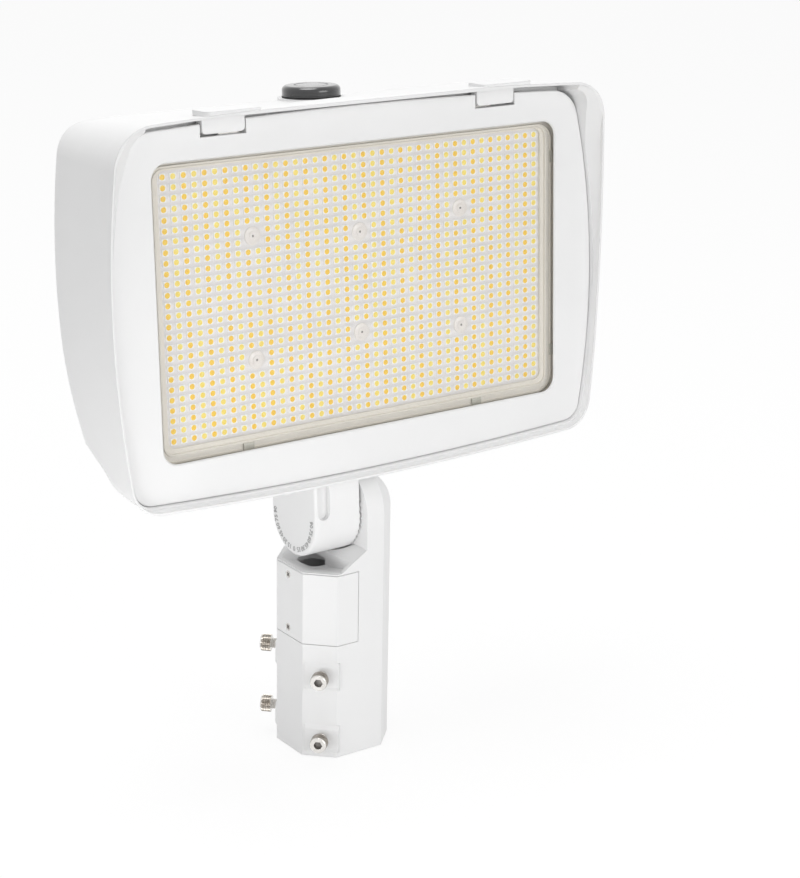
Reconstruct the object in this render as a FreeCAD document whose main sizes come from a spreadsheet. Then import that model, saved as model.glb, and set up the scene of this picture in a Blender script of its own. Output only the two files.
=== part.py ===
import FreeCAD, Part
import math
import os
import re
import Sketcher

# LED floodlight on a slip fitter, in millimetres
# The origin is the centre of the socket's mouth, +Z runs up the pole's axis, the lens faces -Y.
# The head is drawn in its own frame (lens outward along -Y, boards on the plane Y = 0) and then
# seated on the tilt pivot, leaning back by head_tilt.

SIZES = [
    # Socket and arm
    ("socket_width", 78), ("socket_depth", 72), ("socket_bevel", 18.5), ("rim_height", 147),
    ("tenon_diameter", 60.3), ("tenon_clearance", 0.85), ("tenon_length", 84), ("stop_ledge", 2.5),
    ("roof_thickness", 9), ("dish_depth", 6), ("dish_margin", 3.5), ("dish_floor_margin", 20),
    ("dish_shift", 8), ("dish_right_edge", 8), ("wire_hole_radius", 12), ("wire_hole_back", 11),
    ("wire_hole_shift", 11), ("gusset_run", 22), ("gusset_rise", 14), ("pivot_rise", 37),
    # Knuckle
    ("knuckle_radius", 29.3), ("dial_face_offset", 35.8), ("joint_offset", 4), ("tooth_height", 1.1),
    ("tooth_tip_gap", 0.2), ("tooth_count", 36), ("tooth_ring_inner", 20), ("knuckle_clearance", 1.2),
    ("wire_bore_radius", 8), ("wire_bore_offset", 22.5), ("knuckle_round", 2.4), ("neck_slot_width", 10),
    ("neck_slot_depth", 4), ("neck_slot_start", 2.8), ("neck_slot_drop", 8), ("neck_top", 93),
    # Wiring cover
    ("cover_bottom", 90.5), ("cover_rim_gap", 1.5), ("cover_thickness", 2.5), ("gasket_thickness", 1),
    ("cover_right_edge", 2), ("window_border", 11.5), ("window_side_border", 6), ("cover_screw_inset", 6.5),
    ("cover_screw_radius", 1.5), ("cover_screw_length", 8), ("cover_screw_shift", 2), ("cover_seam", 0.4),
    # Clamp bolts
    ("clamp_bolt_radius", 4), ("clamp_head_radius", 6.5), ("clamp_head_height", 8), ("clamp_reach", 55.4),
    ("front_bolt_height", 16), ("rear_bolt_height", 21), ("bolt_spacing", 50.5), ("bolt_socket_flats", 6),
    ("bolt_socket_depth", 4), ("pad_above", 10), ("pad_below", 12), ("pad_rise", 1.6), ("pad_slope", 3),
    # Tilt bolt
    ("tilt_bolt_radius", 6), ("tilt_head_radius", 9), ("tilt_head_height", 9), ("tilt_bolt_engagement", 15),
    ("tilt_counterbore_radius", 12), ("tilt_counterbore_depth", 12), ("tilt_washer_thickness", 2.5),
    ("tilt_bolt_clearance", 0.3), ("tilt_socket_flats", 10), ("tilt_socket_depth", 5),
    # Head form
    ("head_tilt", 3.3), ("head_forward", 39.6), ("neck_rise", 37), ("head_wall_width", 3.9),
    ("front_plane", 20), ("side_draft", 0.085), ("side_bow_height", 15), ("front_side_bow", 1000),
    ("rear_side_bow", 620), ("edge_bow", 3500), ("front_depth", 32), ("rear_depth", 76),
    ("brow_overhang", 1.7), ("roof_taper", 7.2), ("sill_depth", 6), ("floor_taper", 7), ("top_corner", 30),
    ("bottom_corner", 24), ("rear_corner_drop", 6), ("visor_wall", 1.7), ("brow_wall", 2.4),
    ("visor_low", 18), ("visor_reach", 11), ("visor_bow_start", 60), ("brow_rise", 5.5), ("brow_depth", 5),
    ("brow_step", 3), ("roof_fall", 5), ("roof_wall", 3.5), ("rear_wall_plane", 66), ("rear_rim", 7),
    ("fin_depth", 84), ("fin_pitch", 14), ("fin_thickness", 2.6), ("fin_count", 27),
    ("fin_half_height", 88),
    ("fin_root", 4), ("seat_plane", 1), ("cavity_side_margin", 8), ("cavity_margin", 4.5),
    ("cavity_depth", 60), ("ledge_thickness", 5),
    # Lining of the visor round the door
    ("door_gap", 0.4), ("door_draft", 0.12), ("door_bow_drop", 13), ("pocket_top_corner", 14),
    ("flare_rear", 13), ("flare_step", 1.4), ("flare_sill", 2.2), ("flare_top_corner", 75),
    ("flare_front_half", 8), ("flare_front_bow", 1263), ("flare_front_middle", 20),
    ("flare_front_corner", 24), ("flare_fall", 14),
    # Gear inside the head
    ("tray_plane", 1.6), ("tray_thickness", 3), ("tray_margin", 1), ("tray_inset", 0.5),
    ("tray_corner", 16),
    ("tray_hole_inset", 9), ("boss_radius", 6), ("tray_screw_radius", 2), ("tray_screw_head", 3.6),
    ("tray_screw_sink", 1.4), ("tray_screw_length", 10), ("board_side_border", 6),
    ("board_end_border", 6.4),
    ("board_thickness", 1.6), ("led_pitch_across", 8), ("led_pitch_down", 7.2), ("led_columns", 40),
    ("led_rows", 26), ("led_width", 3), ("led_length", 3.4), ("led_height", 0.7),
    ("board_screw_radius", 1.5), ("board_screw_head", 3), ("board_gap", 0.4), ("frame_wall", 11.6),
    ("frame_top_wall", 4.1), ("frame_bottom_wall", 12.1), ("frame_lip", 5.5), ("frame_lip_height", 2),
    ("frame_front", 2.7), ("driver_length", 150), ("driver_width", 62), ("driver_height", 34),
    ("driver_shift", 92), ("driver_rise", 12), ("driver_ear", 12), ("driver_ear_thickness", 2.5),
    ("driver_screw_radius", 2), ("surge_radius", 16), ("surge_length", 44), ("surge_rise", 66),
    ("terminal_length", 60), ("terminal_width", 20), ("terminal_height", 22),
    # Photocell
    ("cell_x", 3), ("cell_y", 51), ("cell_radius", 21), ("cell_height", 7.7), ("cell_shoulder", 3.5),
    ("cell_pad_radius", 24), ("cell_gasket_thickness", 0.8), ("cell_socket_radius", 12.5),
    ("cell_socket_depth", 22), ("cell_gap", 0.1), ("blade_thickness", 1), ("blade_width", 5),
    ("blade_length", 9), ("blade_circle", 9), ("blade_slot_clearance", 0.6), ("cell_turn", 20),
    # Door
    ("door_side_border", 26.5), ("door_bottom_border", 22), ("door_side_bow", 530), ("door_top_corner", 24),
    ("door_bottom_corner", 15), ("door_rear", 3), ("door_head_gap", 1.2), ("door_face", 11),
    ("door_edge_round", 1), ("window_side_margin", 2.5), ("window_sill", 3.5), ("window_corner", 11),
    ("window_bevel", 1.2), ("lens_margin", 8.5), ("lens_corner", 18), ("lens_front", 9.2),
    ("lens_thickness", 4), ("lens_gap", 1), ("lens_gasket", 0.6), ("gasket_margin", 1.5),
    ("hinge_shift", 113.5), ("lug_width", 33), ("lug_drop", 5.5), ("lug_front", 11.6), ("lug_rear", 4.2),
    ("lug_gap", 1.2), ("lug_drop_gap", 1.8), ("hinge_plane", 7.5), ("hinge_rise", 13), ("hinge_edge", 4),
    ("hinge_pin_radius", 1.5), ("hinge_pin_grip", 7), ("hinge_fit", 0.05), ("brow_pad_half", 22),
    ("brow_pad_rise", 1.6), ("clip_length", 18), ("clip_width", 12), ("clip_thickness", 1.2),
    ("clip_overlap", 4.5), ("clip_across", 105), ("clip_up", 72), ("clip_screw_radius", 1.5),
    ("clip_screw_head", 2.8), ("seal_width", 3.5), ("seal_margin", 1.5), ("seal_gap", 0.1),
    ("door_screw_shift", 120), ("door_screw_drop", 5.6), ("door_screw_radius", 2), ("door_screw_head", 3.5),
    ("door_screw_head_height", 4), ("door_screw_bite", 5), ("door_screw_clearance", 0.3),
    ("door_screw_seat", 8), ("door_screw_recess", 4.5), ("door_boss_floor", 1.2),
]

# Sizes that follow from others: from the LEDs outward to the board, its frame, the tray, the gear room,
# the window, the lens, the door and the casting
DERIVED = {
    "board_half_width": "led_columns * led_pitch_across / 2 + board_side_border",
    "board_half_height": "led_rows * led_pitch_down / 2 + board_end_border",
    "frame_inner_half": "board_half_width + board_gap",
    "frame_inner_height": "board_half_height + board_gap",
    "frame_outer_half": "frame_inner_half + frame_wall",
    "frame_top": "frame_inner_height + frame_top_wall",
    "frame_bottom": "frame_inner_height + frame_bottom_wall",
    "tray_half_width": "frame_outer_half + tray_margin",
    "tray_top": "frame_top - tray_inset",
    "tray_bottom": "frame_bottom - tray_inset",
    "cavity_half_width": "frame_outer_half + cavity_side_margin",
    "cavity_top": "frame_top + cavity_margin",
    "cavity_bottom": "frame_bottom + cavity_margin",
    "window_half_width": "board_half_width + window_side_margin",
    "window_top": "board_half_height",
    "window_bottom": "board_half_height + window_sill",
    "lens_half_width": "window_half_width + lens_margin",
    "lens_top": "window_top + lens_margin",
    "lens_bottom": "window_bottom + lens_margin",
    "hinge_height": "cavity_top + hinge_rise",
    "lug_bottom": "hinge_height - lug_drop",
    "door_half_width": "lens_half_width + door_side_border",
    "door_top": "hinge_height + hinge_edge",
    "door_bottom": "lens_bottom + door_bottom_border",
    "door_screw_height": "cavity_bottom + door_screw_drop",
    "brow_top": "door_top + brow_rise",
    "head_half_width": "door_half_width + head_wall_width",
    "front_top": "brow_top + brow_overhang",
    "rear_top": "front_top - roof_taper",
    "front_bottom": "door_bottom + sill_depth",
    "rear_bottom": "front_bottom - floor_taper",
    "cell_pad_top": "rear_top",
    "pivot_height": "rim_height + pivot_rise",
    "head_rise": "front_bottom + neck_rise",
}

os.makedirs("parts", exist_ok=True)
doc = FreeCAD.newDocument("floodlight")
sheet = doc.addObject("Spreadsheet::Sheet", "sizes")
for row, (alias, amount) in enumerate(SIZES, start=1):
    sheet.set(f"A{row}", alias)
    sheet.set(f"B{row}", str(amount))
    sheet.setAlias(f"B{row}", alias)
doc.recompute()

FUNCTIONS = {"sin", "cos", "tan", "sqrt"}
parts = []


def bound(text):
    """The expression of a few size names, written for the spreadsheet."""
    def written(match):
        name = match[0]
        if name in FUNCTIONS:
            return name
        return f"({bound(DERIVED[name])})" if name in DERIVED else "sizes." + name

    return re.sub(r"[a-z_]+", written, text)


def size(text):
    return float(sheet.evalExpression(bound(text)))


def vec(x, y, z):
    return FreeCAD.Vector(x, y, z)


def finish(obj, label, head=False):
    """Names a sub-part and, for the head's pieces, seats it on the tilt pivot."""
    obj.Label = label
    if head:
        obj.Placement = FreeCAD.Placement(vec(0, 0, 0), FreeCAD.Rotation(vec(1, 0, 0), 1))
        obj.setExpression("Placement.Base.y",
                          bound("head_rise * sin(head_tilt) - head_forward * cos(head_tilt)"))
        obj.setExpression("Placement.Base.z", bound(
            "pivot_height + head_rise * cos(head_tilt) + head_forward * sin(head_tilt)"))
        obj.setExpression("Placement.Rotation.Angle", bound("-head_tilt"))
    parts.append(obj)
    return obj


def shaped(label, shape, head=False):
    """A cast or moulded form that is set in code from the sheet's sizes."""
    obj = doc.addObject("Part::Feature", label)
    obj.Shape = shape
    return finish(obj, label, head)


# Sketch helpers
def new_sketch(body, name, role, offset):
    sketch = body.newObject("Sketcher::SketchObject", name)
    plane = next(f for f in body.Origin.OriginFeatures if f.Role == role)
    sketch.AttachmentSupport = [(plane, "")]
    sketch.MapMode = "FlatFace"
    sketch.setExpression("AttachmentOffset.Base.z", bound(offset))
    return sketch


def place_point(sketch, index, corner, across, up):
    for kind, text in (("DistanceX", across), ("DistanceY", up)):
        number = sketch.addConstraint(Sketcher.Constraint(kind, -1, 1, index, corner, size(text)))
        sketch.setExpression(f"Constraints[{number}]", bound(text))


def polygon(sketch, corners):
    """A closed outline whose corners are pinned to the sheet's sizes."""
    first = sketch.GeometryCount
    spots = [vec(size(a), size(b), 0) for a, b in corners]
    for k, spot in enumerate(spots):
        sketch.addGeometry(Part.LineSegment(spot, spots[(k + 1) % len(spots)]))
    for k, (across, up) in enumerate(corners):
        after = first + (k + 1) % len(corners)
        sketch.addConstraint(Sketcher.Constraint("Coincident", first + k, 2, after, 1))
        place_point(sketch, first + k, 1, across, up)


def circle(sketch, across, up, radius):
    ring = Part.Circle(vec(size(across), size(up), 0), vec(0, 0, 1), size(radius))
    index = sketch.addGeometry(ring)
    place_point(sketch, index, 3, across, up)
    number = sketch.addConstraint(Sketcher.Constraint("Radius", index, size(radius)))
    sketch.setExpression(f"Constraints[{number}]", bound(radius))


def extrude(body, kind, sketch, length, name, backwards=False):
    feature = body.newObject("PartDesign::" + kind, name)
    feature.Profile = sketch
    feature.setExpression("Length", bound(length))
    feature.Reversed = backwards
    return feature


def turned(label, profile):
    """A turned piece: its half section (radius, height) revolved about Z."""
    body = doc.addObject("PartDesign::Body", label)
    sketch = new_sketch(body, label + "_section", "XZ_Plane", "0 * joint_offset")
    polygon(sketch, profile)
    turn = body.newObject("PartDesign::Revolution", label + "_turn")
    turn.Profile = sketch
    turn.ReferenceAxis = (sketch, ["V_Axis"])
    turn.Angle = 360
    return body


def hex_socket(body, label, flats, depth, top):
    """A hexagon socket sunk into the top of a turned bolt."""
    sketch = new_sketch(body, label + "_hex", "XY_Plane", top)
    across = [("0.57735 * " + flats, "0"), ("0.288675 * " + flats, "0.5 * " + flats)]
    half = across + [("-0.288675 * " + flats, "0.5 * " + flats)]
    mirrored = [("-0.57735 * " + flats, "0"), ("-0.288675 * " + flats, "-0.5 * " + flats)]
    polygon(sketch, half + mirrored + [("0.288675 * " + flats, "-0.5 * " + flats)])
    return extrude(body, "Pocket", sketch, depth, label + "_socket")


def copies(label, form, spots, head=False):
    """Identical fasteners as one group: each is the same form at its own place."""
    links = []
    for k, (point, axis) in enumerate(spots):
        link = doc.addObject("App::Link", f"{label}_{k + 1}")
        link.LinkedObject = form
        link.Placement = FreeCAD.Placement(point, FreeCAD.Rotation(vec(0, 0, 1), axis))
        links.append(link)
    group = doc.addObject("Part::Compound", label)
    group.Links = links
    return finish(group, label, head)


# Plain solids
def box(x0, x1, y0, y1, z0, z1):
    return Part.makeBox(x1 - x0, y1 - y0, z1 - z0, vec(x0, y0, z0))


def rod(radius, start, axis, length):
    return Part.makeCylinder(radius, length, start, axis)


def prism(points, run):
    """A closed polygon of points, extruded along the vector run."""
    return Part.Face(Part.makePolygon(points + points[:1])).extrude(run)


def octagon(inset, bottom, top):
    """The socket's eight-sided section, drawn in by inset, between two heights."""
    a = size("socket_width / 2") - inset
    b = size("socket_depth / 2") - inset
    c = size("socket_bevel") - inset * (2 - math.sqrt(2))
    corners = [(a, b - c), (a - c, b), (c - a, b), (-a, b - c), (-a, c - b), (c - a, -b), (a - c, -b),
               (a, c - b)]
    return prism([vec(x, y, bottom) for x, y in corners], vec(0, 0, top - bottom))


# Outlines of the head
def bowed_outline(y, half, top, bottom, middle, side_bow, top_corner, bottom_corner, grow=0):
    """A rectangle with bowed sides and rounded corners, in a plane of constant Y. Grow offsets it outward."""
    edge_bow = size("edge_bow")
    side = (half - side_bow, middle, side_bow + grow)
    upper = (0, top - edge_bow, edge_bow + grow)
    lower = (0, bottom + edge_bow, edge_bow + grow)

    def corner_centre(radius, sign, edge):
        x, z = half - radius, sign * (abs(top if sign > 0 else bottom) - radius)
        for _ in range(40):
            x = side[0] + math.sqrt((side[2] - radius) ** 2 - (z - side[1]) ** 2)
            z = edge[1] + sign * math.sqrt((edge[2] - radius) ** 2 - x ** 2)
        return x, z

    def toward(centre, point, radius):
        dx, dz = point[0] - centre[0], point[1] - centre[1]
        scale = radius / math.hypot(dx, dz)
        return centre[0] + dx * scale, centre[1] + dz * scale

    def corner(radius, sign, edge):
        centre = corner_centre(radius, sign, edge)
        beside = toward(side[:2], centre, side[2])
        along = toward(edge[:2], centre, edge[2])
        middle_of = toward(centre, ((beside[0] + along[0]) / 2, (beside[1] + along[1]) / 2), radius)
        return beside, middle_of, along

    high = corner(top_corner + grow, 1, upper)
    low = corner(bottom_corner + grow, -1, lower)
    right = (side[0] + side[2], side[1])
    route = [low[0], right, high[0], high[1], high[2], (0, upper[1] + upper[2])]
    route += [(-x, z) for x, z in reversed(route[:5])]
    route += [(-low[1][0], low[1][1]), (-low[2][0], low[2][1]), (0, lower[1] - lower[2]), low[2], low[1],
              low[0]]
    points = [vec(x, y, z) for x, z in route]
    arcs = [Part.Arc(points[k], points[k + 1], points[k + 2]).toShape()
            for k in range(0, len(points) - 1, 2)]
    return Part.Wire(arcs)


def head_section(y, grow=0):
    """The casting's outline at the depth y, between its front and its rear form."""
    share = (y + size("front_depth")) / size("front_depth + rear_depth")

    def between(front, rear):
        return size(front) * (1 - share) + size(rear) * share

    half = size("head_half_width") - size("side_draft") * (y + size("front_plane"))
    top = between("front_top", "rear_top")
    bottom = -between("front_bottom", "rear_bottom")
    bow = between("front_side_bow", "rear_side_bow")
    drop = size("rear_corner_drop") * share
    return bowed_outline(y, half, top, bottom, size("side_bow_height"), bow,
                         size("top_corner") - drop, size("bottom_corner") - drop, grow)


def lofted(wires):
    return Part.makeLoft(wires, True, True)


def slab(outline, depth):
    """An outline extruded rearward."""
    return Part.Face(outline).extrude(vec(0, depth, 0))


def front_arc(low, reach):
    """Three points of a front edge in side view: upright low down, leaning forward towards the brow."""
    start, top = -size("visor_bow_start"), size("brow_top")
    bow = ((top - start) ** 2 + reach ** 2) / (2 * reach)
    half = (top + start) / 2
    lean = bow - math.sqrt(bow ** 2 - (half - start) ** 2)
    return vec(0, -low, start), vec(0, -low - lean, half), vec(0, -low - reach, top)


def side_prism(edges, half=260):
    face = Part.Face(Part.Wire(edges))
    face.translate(vec(-half, 0, 0))
    return face.extrude(vec(2 * half, 0, 0))


def line(p, q):
    return Part.LineSegment(p, q).toShape()


def arc(p, q, r):
    return Part.Arc(p, q, r).toShape()


def housing_side():
    """Side view of the casting: visor edge, brow with its step, roof, rear, and the waisted underside."""
    low, lean, high = front_arc(size("visor_low"), size("visor_reach"))
    top, step = size("brow_top"), size("brow_step")
    back, foot = -size("brow_depth"), size("visor_low")
    crown = vec(0, size("rear_depth") - 8, top - step - size("roof_fall"))
    rear_high = vec(0, size("rear_depth") - 2, crown.z - 8)
    rear_low = vec(0, size("rear_depth") - 3, -22)
    heel = vec(0, 60, -99)
    waist = [vec(0, 36, -110), vec(0, 28, -115.5), vec(0, 22, -124)]
    flange = [vec(0, 15, -132), vec(0, 4, -137)]
    toe = vec(0, -foot, -size("front_bottom"))
    edges = [arc(low, lean, high), line(high, vec(0, back, top)),
             arc(vec(0, back, top), vec(0, back + 1.4, top - 0.5 * step), vec(0, back + 3, top - step)),
             line(vec(0, back + 3, top - step), crown),
             arc(crown, vec(0, size("rear_depth") - 4, crown.z - 2.4), rear_high),
             line(rear_high, rear_low), arc(rear_low, vec(0, 69.5, -62), heel), line(heel, waist[0]),
             arc(waist[0], waist[1], waist[2]), arc(waist[2], flange[0], flange[1]),
             line(flange[1], toe), line(toe, low)]
    return side_prism(edges)


def rounded_window(y, half, top, bottom, corner, depth):
    """A straight-sided opening with round corners, as a solid from y rearward."""
    solid = box(-half, half, y, y + depth, -bottom, top)
    edges = [e for e in solid.Edges if abs(e.BoundBox.YLength - depth) < 1e-6
             and e.BoundBox.DiagonalLength < depth + 1e-6]
    return solid.makeFillet(corner, edges)


def ring_of_teeth(root_x, direction):
    """Face teeth round the pivot, standing from the plane root_x along direction (+1 or -1)."""
    inner, outer = size("tooth_ring_inner"), size("knuckle_radius")
    height, count = size("tooth_height"), int(size("tooth_count"))
    teeth = []
    for k in range(count):
        middle = 2 * math.pi * k / count
        half = math.pi / count

        def spot(radius, turn, lift):
            return vec(root_x + direction * lift, radius * math.cos(turn), radius * math.sin(turn))

        def section(radius):
            flat = radius * math.cos(half)
            return Part.makePolygon([spot(radius, middle - half, 0), spot(flat, middle, height),
                                     spot(radius, middle + half, 0), spot(radius, middle - half, 0)])

        teeth.append(Part.makeLoft([section(inner), section(outer)], True, True))
    return teeth


# Slip fitter
def clamp_spots():
    """Place and outward axis of each clamp bolt: two on the front left corner, two on the rear left."""
    spots = []
    for lowest, toward_front in (("front_bolt_height", -1), ("rear_bolt_height", 1)):
        axis = vec(-math.sqrt(0.5), toward_front * math.sqrt(0.5), 0)
        for lift in (0, size("bolt_spacing")):
            spots.append((vec(0, 0, size(lowest) + lift), axis))
    return spots


def clamp_pad(spot, axis):
    """A raised pad round a clamp bolt on its corner face, sloped at its top and its foot."""
    face = size("(socket_width + socket_depth) / 2 - socket_bevel") / math.sqrt(2)
    tangent = vec(-axis.y, axis.x, 0)
    half = size("socket_bevel") / math.sqrt(2)
    top, low = spot.z + size("pad_above"), spot.z - size("pad_below")
    rise, slope = size("pad_rise"), size("pad_slope")

    def point(reach, z):
        return axis * (face + reach) + vec(0, 0, z) - tangent * half

    outline = [point(-rise, top), point(0, top), point(rise, top - slope), point(rise, low + slope),
               point(0, low),
               point(-rise, low)]
    return prism(outline, tangent * (2 * half))


def arm_solid():
    """The arm beside the knuckle: flat sides, round end about the pivot, deep bevel on its outer side."""
    inner = size("joint_offset + tooth_tip_gap / 2 + tooth_height")
    outer, bevel, half = size("socket_width / 2"), size("socket_bevel"), size("socket_depth / 2")
    foot, pivot = size("rim_height - roof_thickness"), size("pivot_height")

    def outline(x, reach):
        start, end = vec(x, -reach, foot), vec(x, reach, foot)
        shoulder, far = vec(x, -reach, pivot), vec(x, reach, pivot)
        return Part.Wire([line(start, shoulder), arc(shoulder, vec(x, 0, pivot + reach), far),
                          line(far, end),
                          line(end, start)])

    straight = Part.Face(outline(inner, half)).extrude(vec(outer - bevel - inner, 0, 0))
    return straight.fuse(lofted([outline(outer - bevel, half), outline(outer, half - bevel)]))


def gusset():
    """The web that rises from the roof to the arm, its slope facing up and left."""
    rim, half = size("rim_height"), size("socket_depth / 2")
    inner = size("joint_offset + tooth_tip_gap / 2 + tooth_height")
    top = rim + size("gusset_rise")
    return prism([vec(inner - size("gusset_run"), -half, rim), vec(inner + 1, -half, rim),
                  vec(inner + 1, -half, top),
                  vec(inner, -half, top)], vec(0, 2 * half, 0))


def slip_fitter():
    """Eight-sided socket with clamp pads, dished roof, and the toothed arm on its right."""
    rim, pivot, half = size("rim_height"), size("pivot_height"), size("socket_depth / 2")
    inner = size("joint_offset + tooth_tip_gap / 2 + tooth_height")
    bore = size("tenon_diameter / 2 + tenon_clearance")
    body = octagon(0, 0, rim).fuse([arm_solid(), gusset()]
                                   + [clamp_pad(spot, axis) for spot, axis in clamp_spots()])
    cuts = [rod(bore, vec(0, 0, -1), vec(0, 0, 1), size("tenon_length") + 1),
            rod(bore - size("stop_ledge"), vec(0, 0, 0), vec(0, 0, 1), rim - size("roof_thickness")),
            rod(size("knuckle_radius + knuckle_clearance"), vec(-size("socket_width"), 0, pivot),
                vec(1, 0, 0),
                size("socket_width") + inner),
            dish_cut(), cover_recess(), cover_window()]
    cuts += [rod(size("clamp_bolt_radius"), spot, axis, 2 * half) for spot, axis in clamp_spots()]
    for spot in cover_screw_spots():
        cuts.append(rod(size("cover_screw_radius"), spot, vec(1, 0, 0), size("cover_screw_length")))
    reach = size("tilt_bolt_radius + tilt_bolt_clearance")
    cuts.append(rod(reach, vec(0, 0, pivot), vec(1, 0, 0), size("socket_width")))
    cuts.append(rod(size("tilt_counterbore_radius"),
                    vec(size("socket_width / 2 - tilt_counterbore_depth"), 0, pivot),
                    vec(1, 0, 0), size("socket_width")))
    teeth = ring_of_teeth(inner, -1)
    for tooth in teeth:
        tooth.translate(vec(0, 0, pivot))
    return shaped("slip_fitter", body.cut(cuts).fuse(teeth).removeSplitter())


def octagon_wire(inset, z):
    """The octagon's outline alone, at one height."""
    slice_faces = octagon(inset, z, z + 1).Faces
    return min(slice_faces, key=lambda f: (round(f.CenterOfMass.z, 3), -f.Area)).OuterWire


def dish_cut():
    """Dished roof that leads the wires to a round hole under the knuckle, open up through the gusset's left end."""
    rim, floor = size("rim_height"), size("rim_height - dish_depth")
    low_wire = octagon_wire(size("dish_floor_margin"), floor)
    low_wire.translate(vec(0, size("dish_shift"), 0))
    dish = lofted([octagon_wire(size("dish_margin"), rim), low_wire])
    dish = dish.fuse(octagon(size("dish_margin"), rim, rim + size("gusset_rise")))
    half = size("socket_width")
    dish = dish.common(box(-half, -size("dish_right_edge"), -half, half, 0, 2 * rim))
    start = vec(-size("wire_hole_shift"), size("wire_hole_back"), rim - size("roof_thickness") - 1)
    return dish.fuse(rod(size("wire_hole_radius"), start, vec(0, 0, 1), size("roof_thickness")))


def cover_zone(grow):
    """The block of space, in plan and height, that the wiring cover takes up."""
    half = size("socket_width")
    side = size("socket_depth / 2 - socket_bevel")
    top = size("rim_height - cover_rim_gap")
    return box(-half, -size("cover_right_edge") + grow, -half, side + grow, size("cover_bottom") - grow,
               top + grow)


def cover_shell(outer, inner, grow=0):
    tall = size("rim_height") + 10
    return octagon(outer, 1, tall).cut(octagon(inner, 0, tall + 1)).common(cover_zone(grow))


def cover_recess():
    """The sunk seat of the cover, a fine seam wider than the cover all round."""
    return cover_shell(-1, size("cover_thickness + gasket_thickness"), size("cover_seam"))


def cover_window():
    """The hand hole behind the cover, clear of its screws."""
    border, side = size("window_border"), size("window_side_border")
    zone = cover_zone(0).BoundBox
    hole = box(zone.XMin, zone.XMax - side, zone.YMin, zone.YMax - side, zone.ZMin + border,
               zone.ZMax - border)
    keep_in = size("cover_thickness + gasket_thickness")
    shell = octagon(keep_in - 1, zone.ZMin, zone.ZMax)
    return shell.common(hole)


def cover_screw_spots():
    top = size("rim_height - cover_rim_gap - cover_screw_inset")
    bottom = size("cover_bottom + cover_screw_inset")
    return [vec(-size("socket_width / 2"), size("cover_screw_shift"), z) for z in (bottom, top)]


def screw_sinks():
    """Countersunk screw forms on the cover's side face."""
    radius, length = size("cover_screw_radius"), size("cover_screw_length")
    forms = []
    for spot in cover_screw_spots():
        cone = Part.makeCone(2 * radius, radius, radius, spot, vec(1, 0, 0))
        forms.append(cone.fuse(rod(radius, spot, vec(1, 0, 0), length)).removeSplitter())
    return forms


def wiring_cover():
    cover = cover_shell(0, size("cover_thickness")).cut(screw_sinks())
    return shaped("wiring_cover", cover)


def cover_gasket():
    thickness = size("cover_thickness")
    ring = cover_shell(thickness, thickness + size("gasket_thickness"))
    return shaped("cover_gasket", ring.cut(screw_sinks() + [cover_window()]))


def cover_screws():
    return shaped("cover_screws", Part.makeCompound(screw_sinks()))


def clamp_bolts():
    """M8 hex-socket bolts whose tips end at the bore, so a tenon can still enter."""
    tip = "tenon_diameter / 2 + tenon_clearance + 0.5"
    neck = "clamp_reach - clamp_head_height"
    form = turned("clamp_bolt_form", [
        ("0 * clamp_reach", tip), ("clamp_bolt_radius", tip), ("clamp_bolt_radius", neck),
        ("clamp_head_radius", neck), ("clamp_head_radius", "clamp_reach - 0.6"),
        ("clamp_head_radius - 0.6", "clamp_reach"), ("0 * clamp_reach", "clamp_reach")])
    hex_socket(form, "clamp_bolt", "bolt_socket_flats", "bolt_socket_depth", "clamp_reach")
    return copies("clamp_bolts", form, clamp_spots())


def tilt_bolt():
    """The bolt that clamps the toothed joint: its head sits in the arm's counterbore."""
    seat = "socket_width / 2 - tilt_counterbore_depth + tilt_washer_thickness"
    tip = "joint_offset - tilt_bolt_engagement"
    top = seat + " + tilt_head_height"
    form = turned("tilt_bolt_form", [
        ("0 * joint_offset", tip), ("tilt_bolt_radius", tip), ("tilt_bolt_radius", seat),
        ("tilt_head_radius", seat),
        ("tilt_head_radius", top + " - 0.8"), ("tilt_head_radius - 0.8", top), ("0 * joint_offset", top)])
    hex_socket(form, "tilt_bolt", "tilt_socket_flats", "tilt_socket_depth", top)
    return copies("tilt_bolt", form, [(vec(0, 0, size("pivot_height")), vec(1, 0, 0))])


def tilt_washer():
    washer = doc.addObject("Part::Cut", "tilt_washer")
    for name, radius in (("washer_outer", "tilt_counterbore_radius - 0.5"),
                         ("washer_hole", "tilt_bolt_radius + tilt_bolt_clearance")):
        disc = doc.addObject("Part::Cylinder", name)
        disc.setExpression("Radius", bound(radius))
        disc.setExpression("Height", bound("tilt_washer_thickness"))
        disc.Placement = FreeCAD.Placement(vec(0, 0, 0), FreeCAD.Rotation(vec(0, 1, 0), 90))
        disc.setExpression("Placement.Base.x", bound("socket_width / 2 - tilt_counterbore_depth"))
        disc.setExpression("Placement.Base.z", bound("pivot_height"))
        setattr(washer, "Base" if name == "washer_outer" else "Tool", disc)
    return finish(washer, "tilt_washer")


# Head casting
def head_pivot():
    return vec(0, size("head_forward"), -size("head_rise"))


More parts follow.
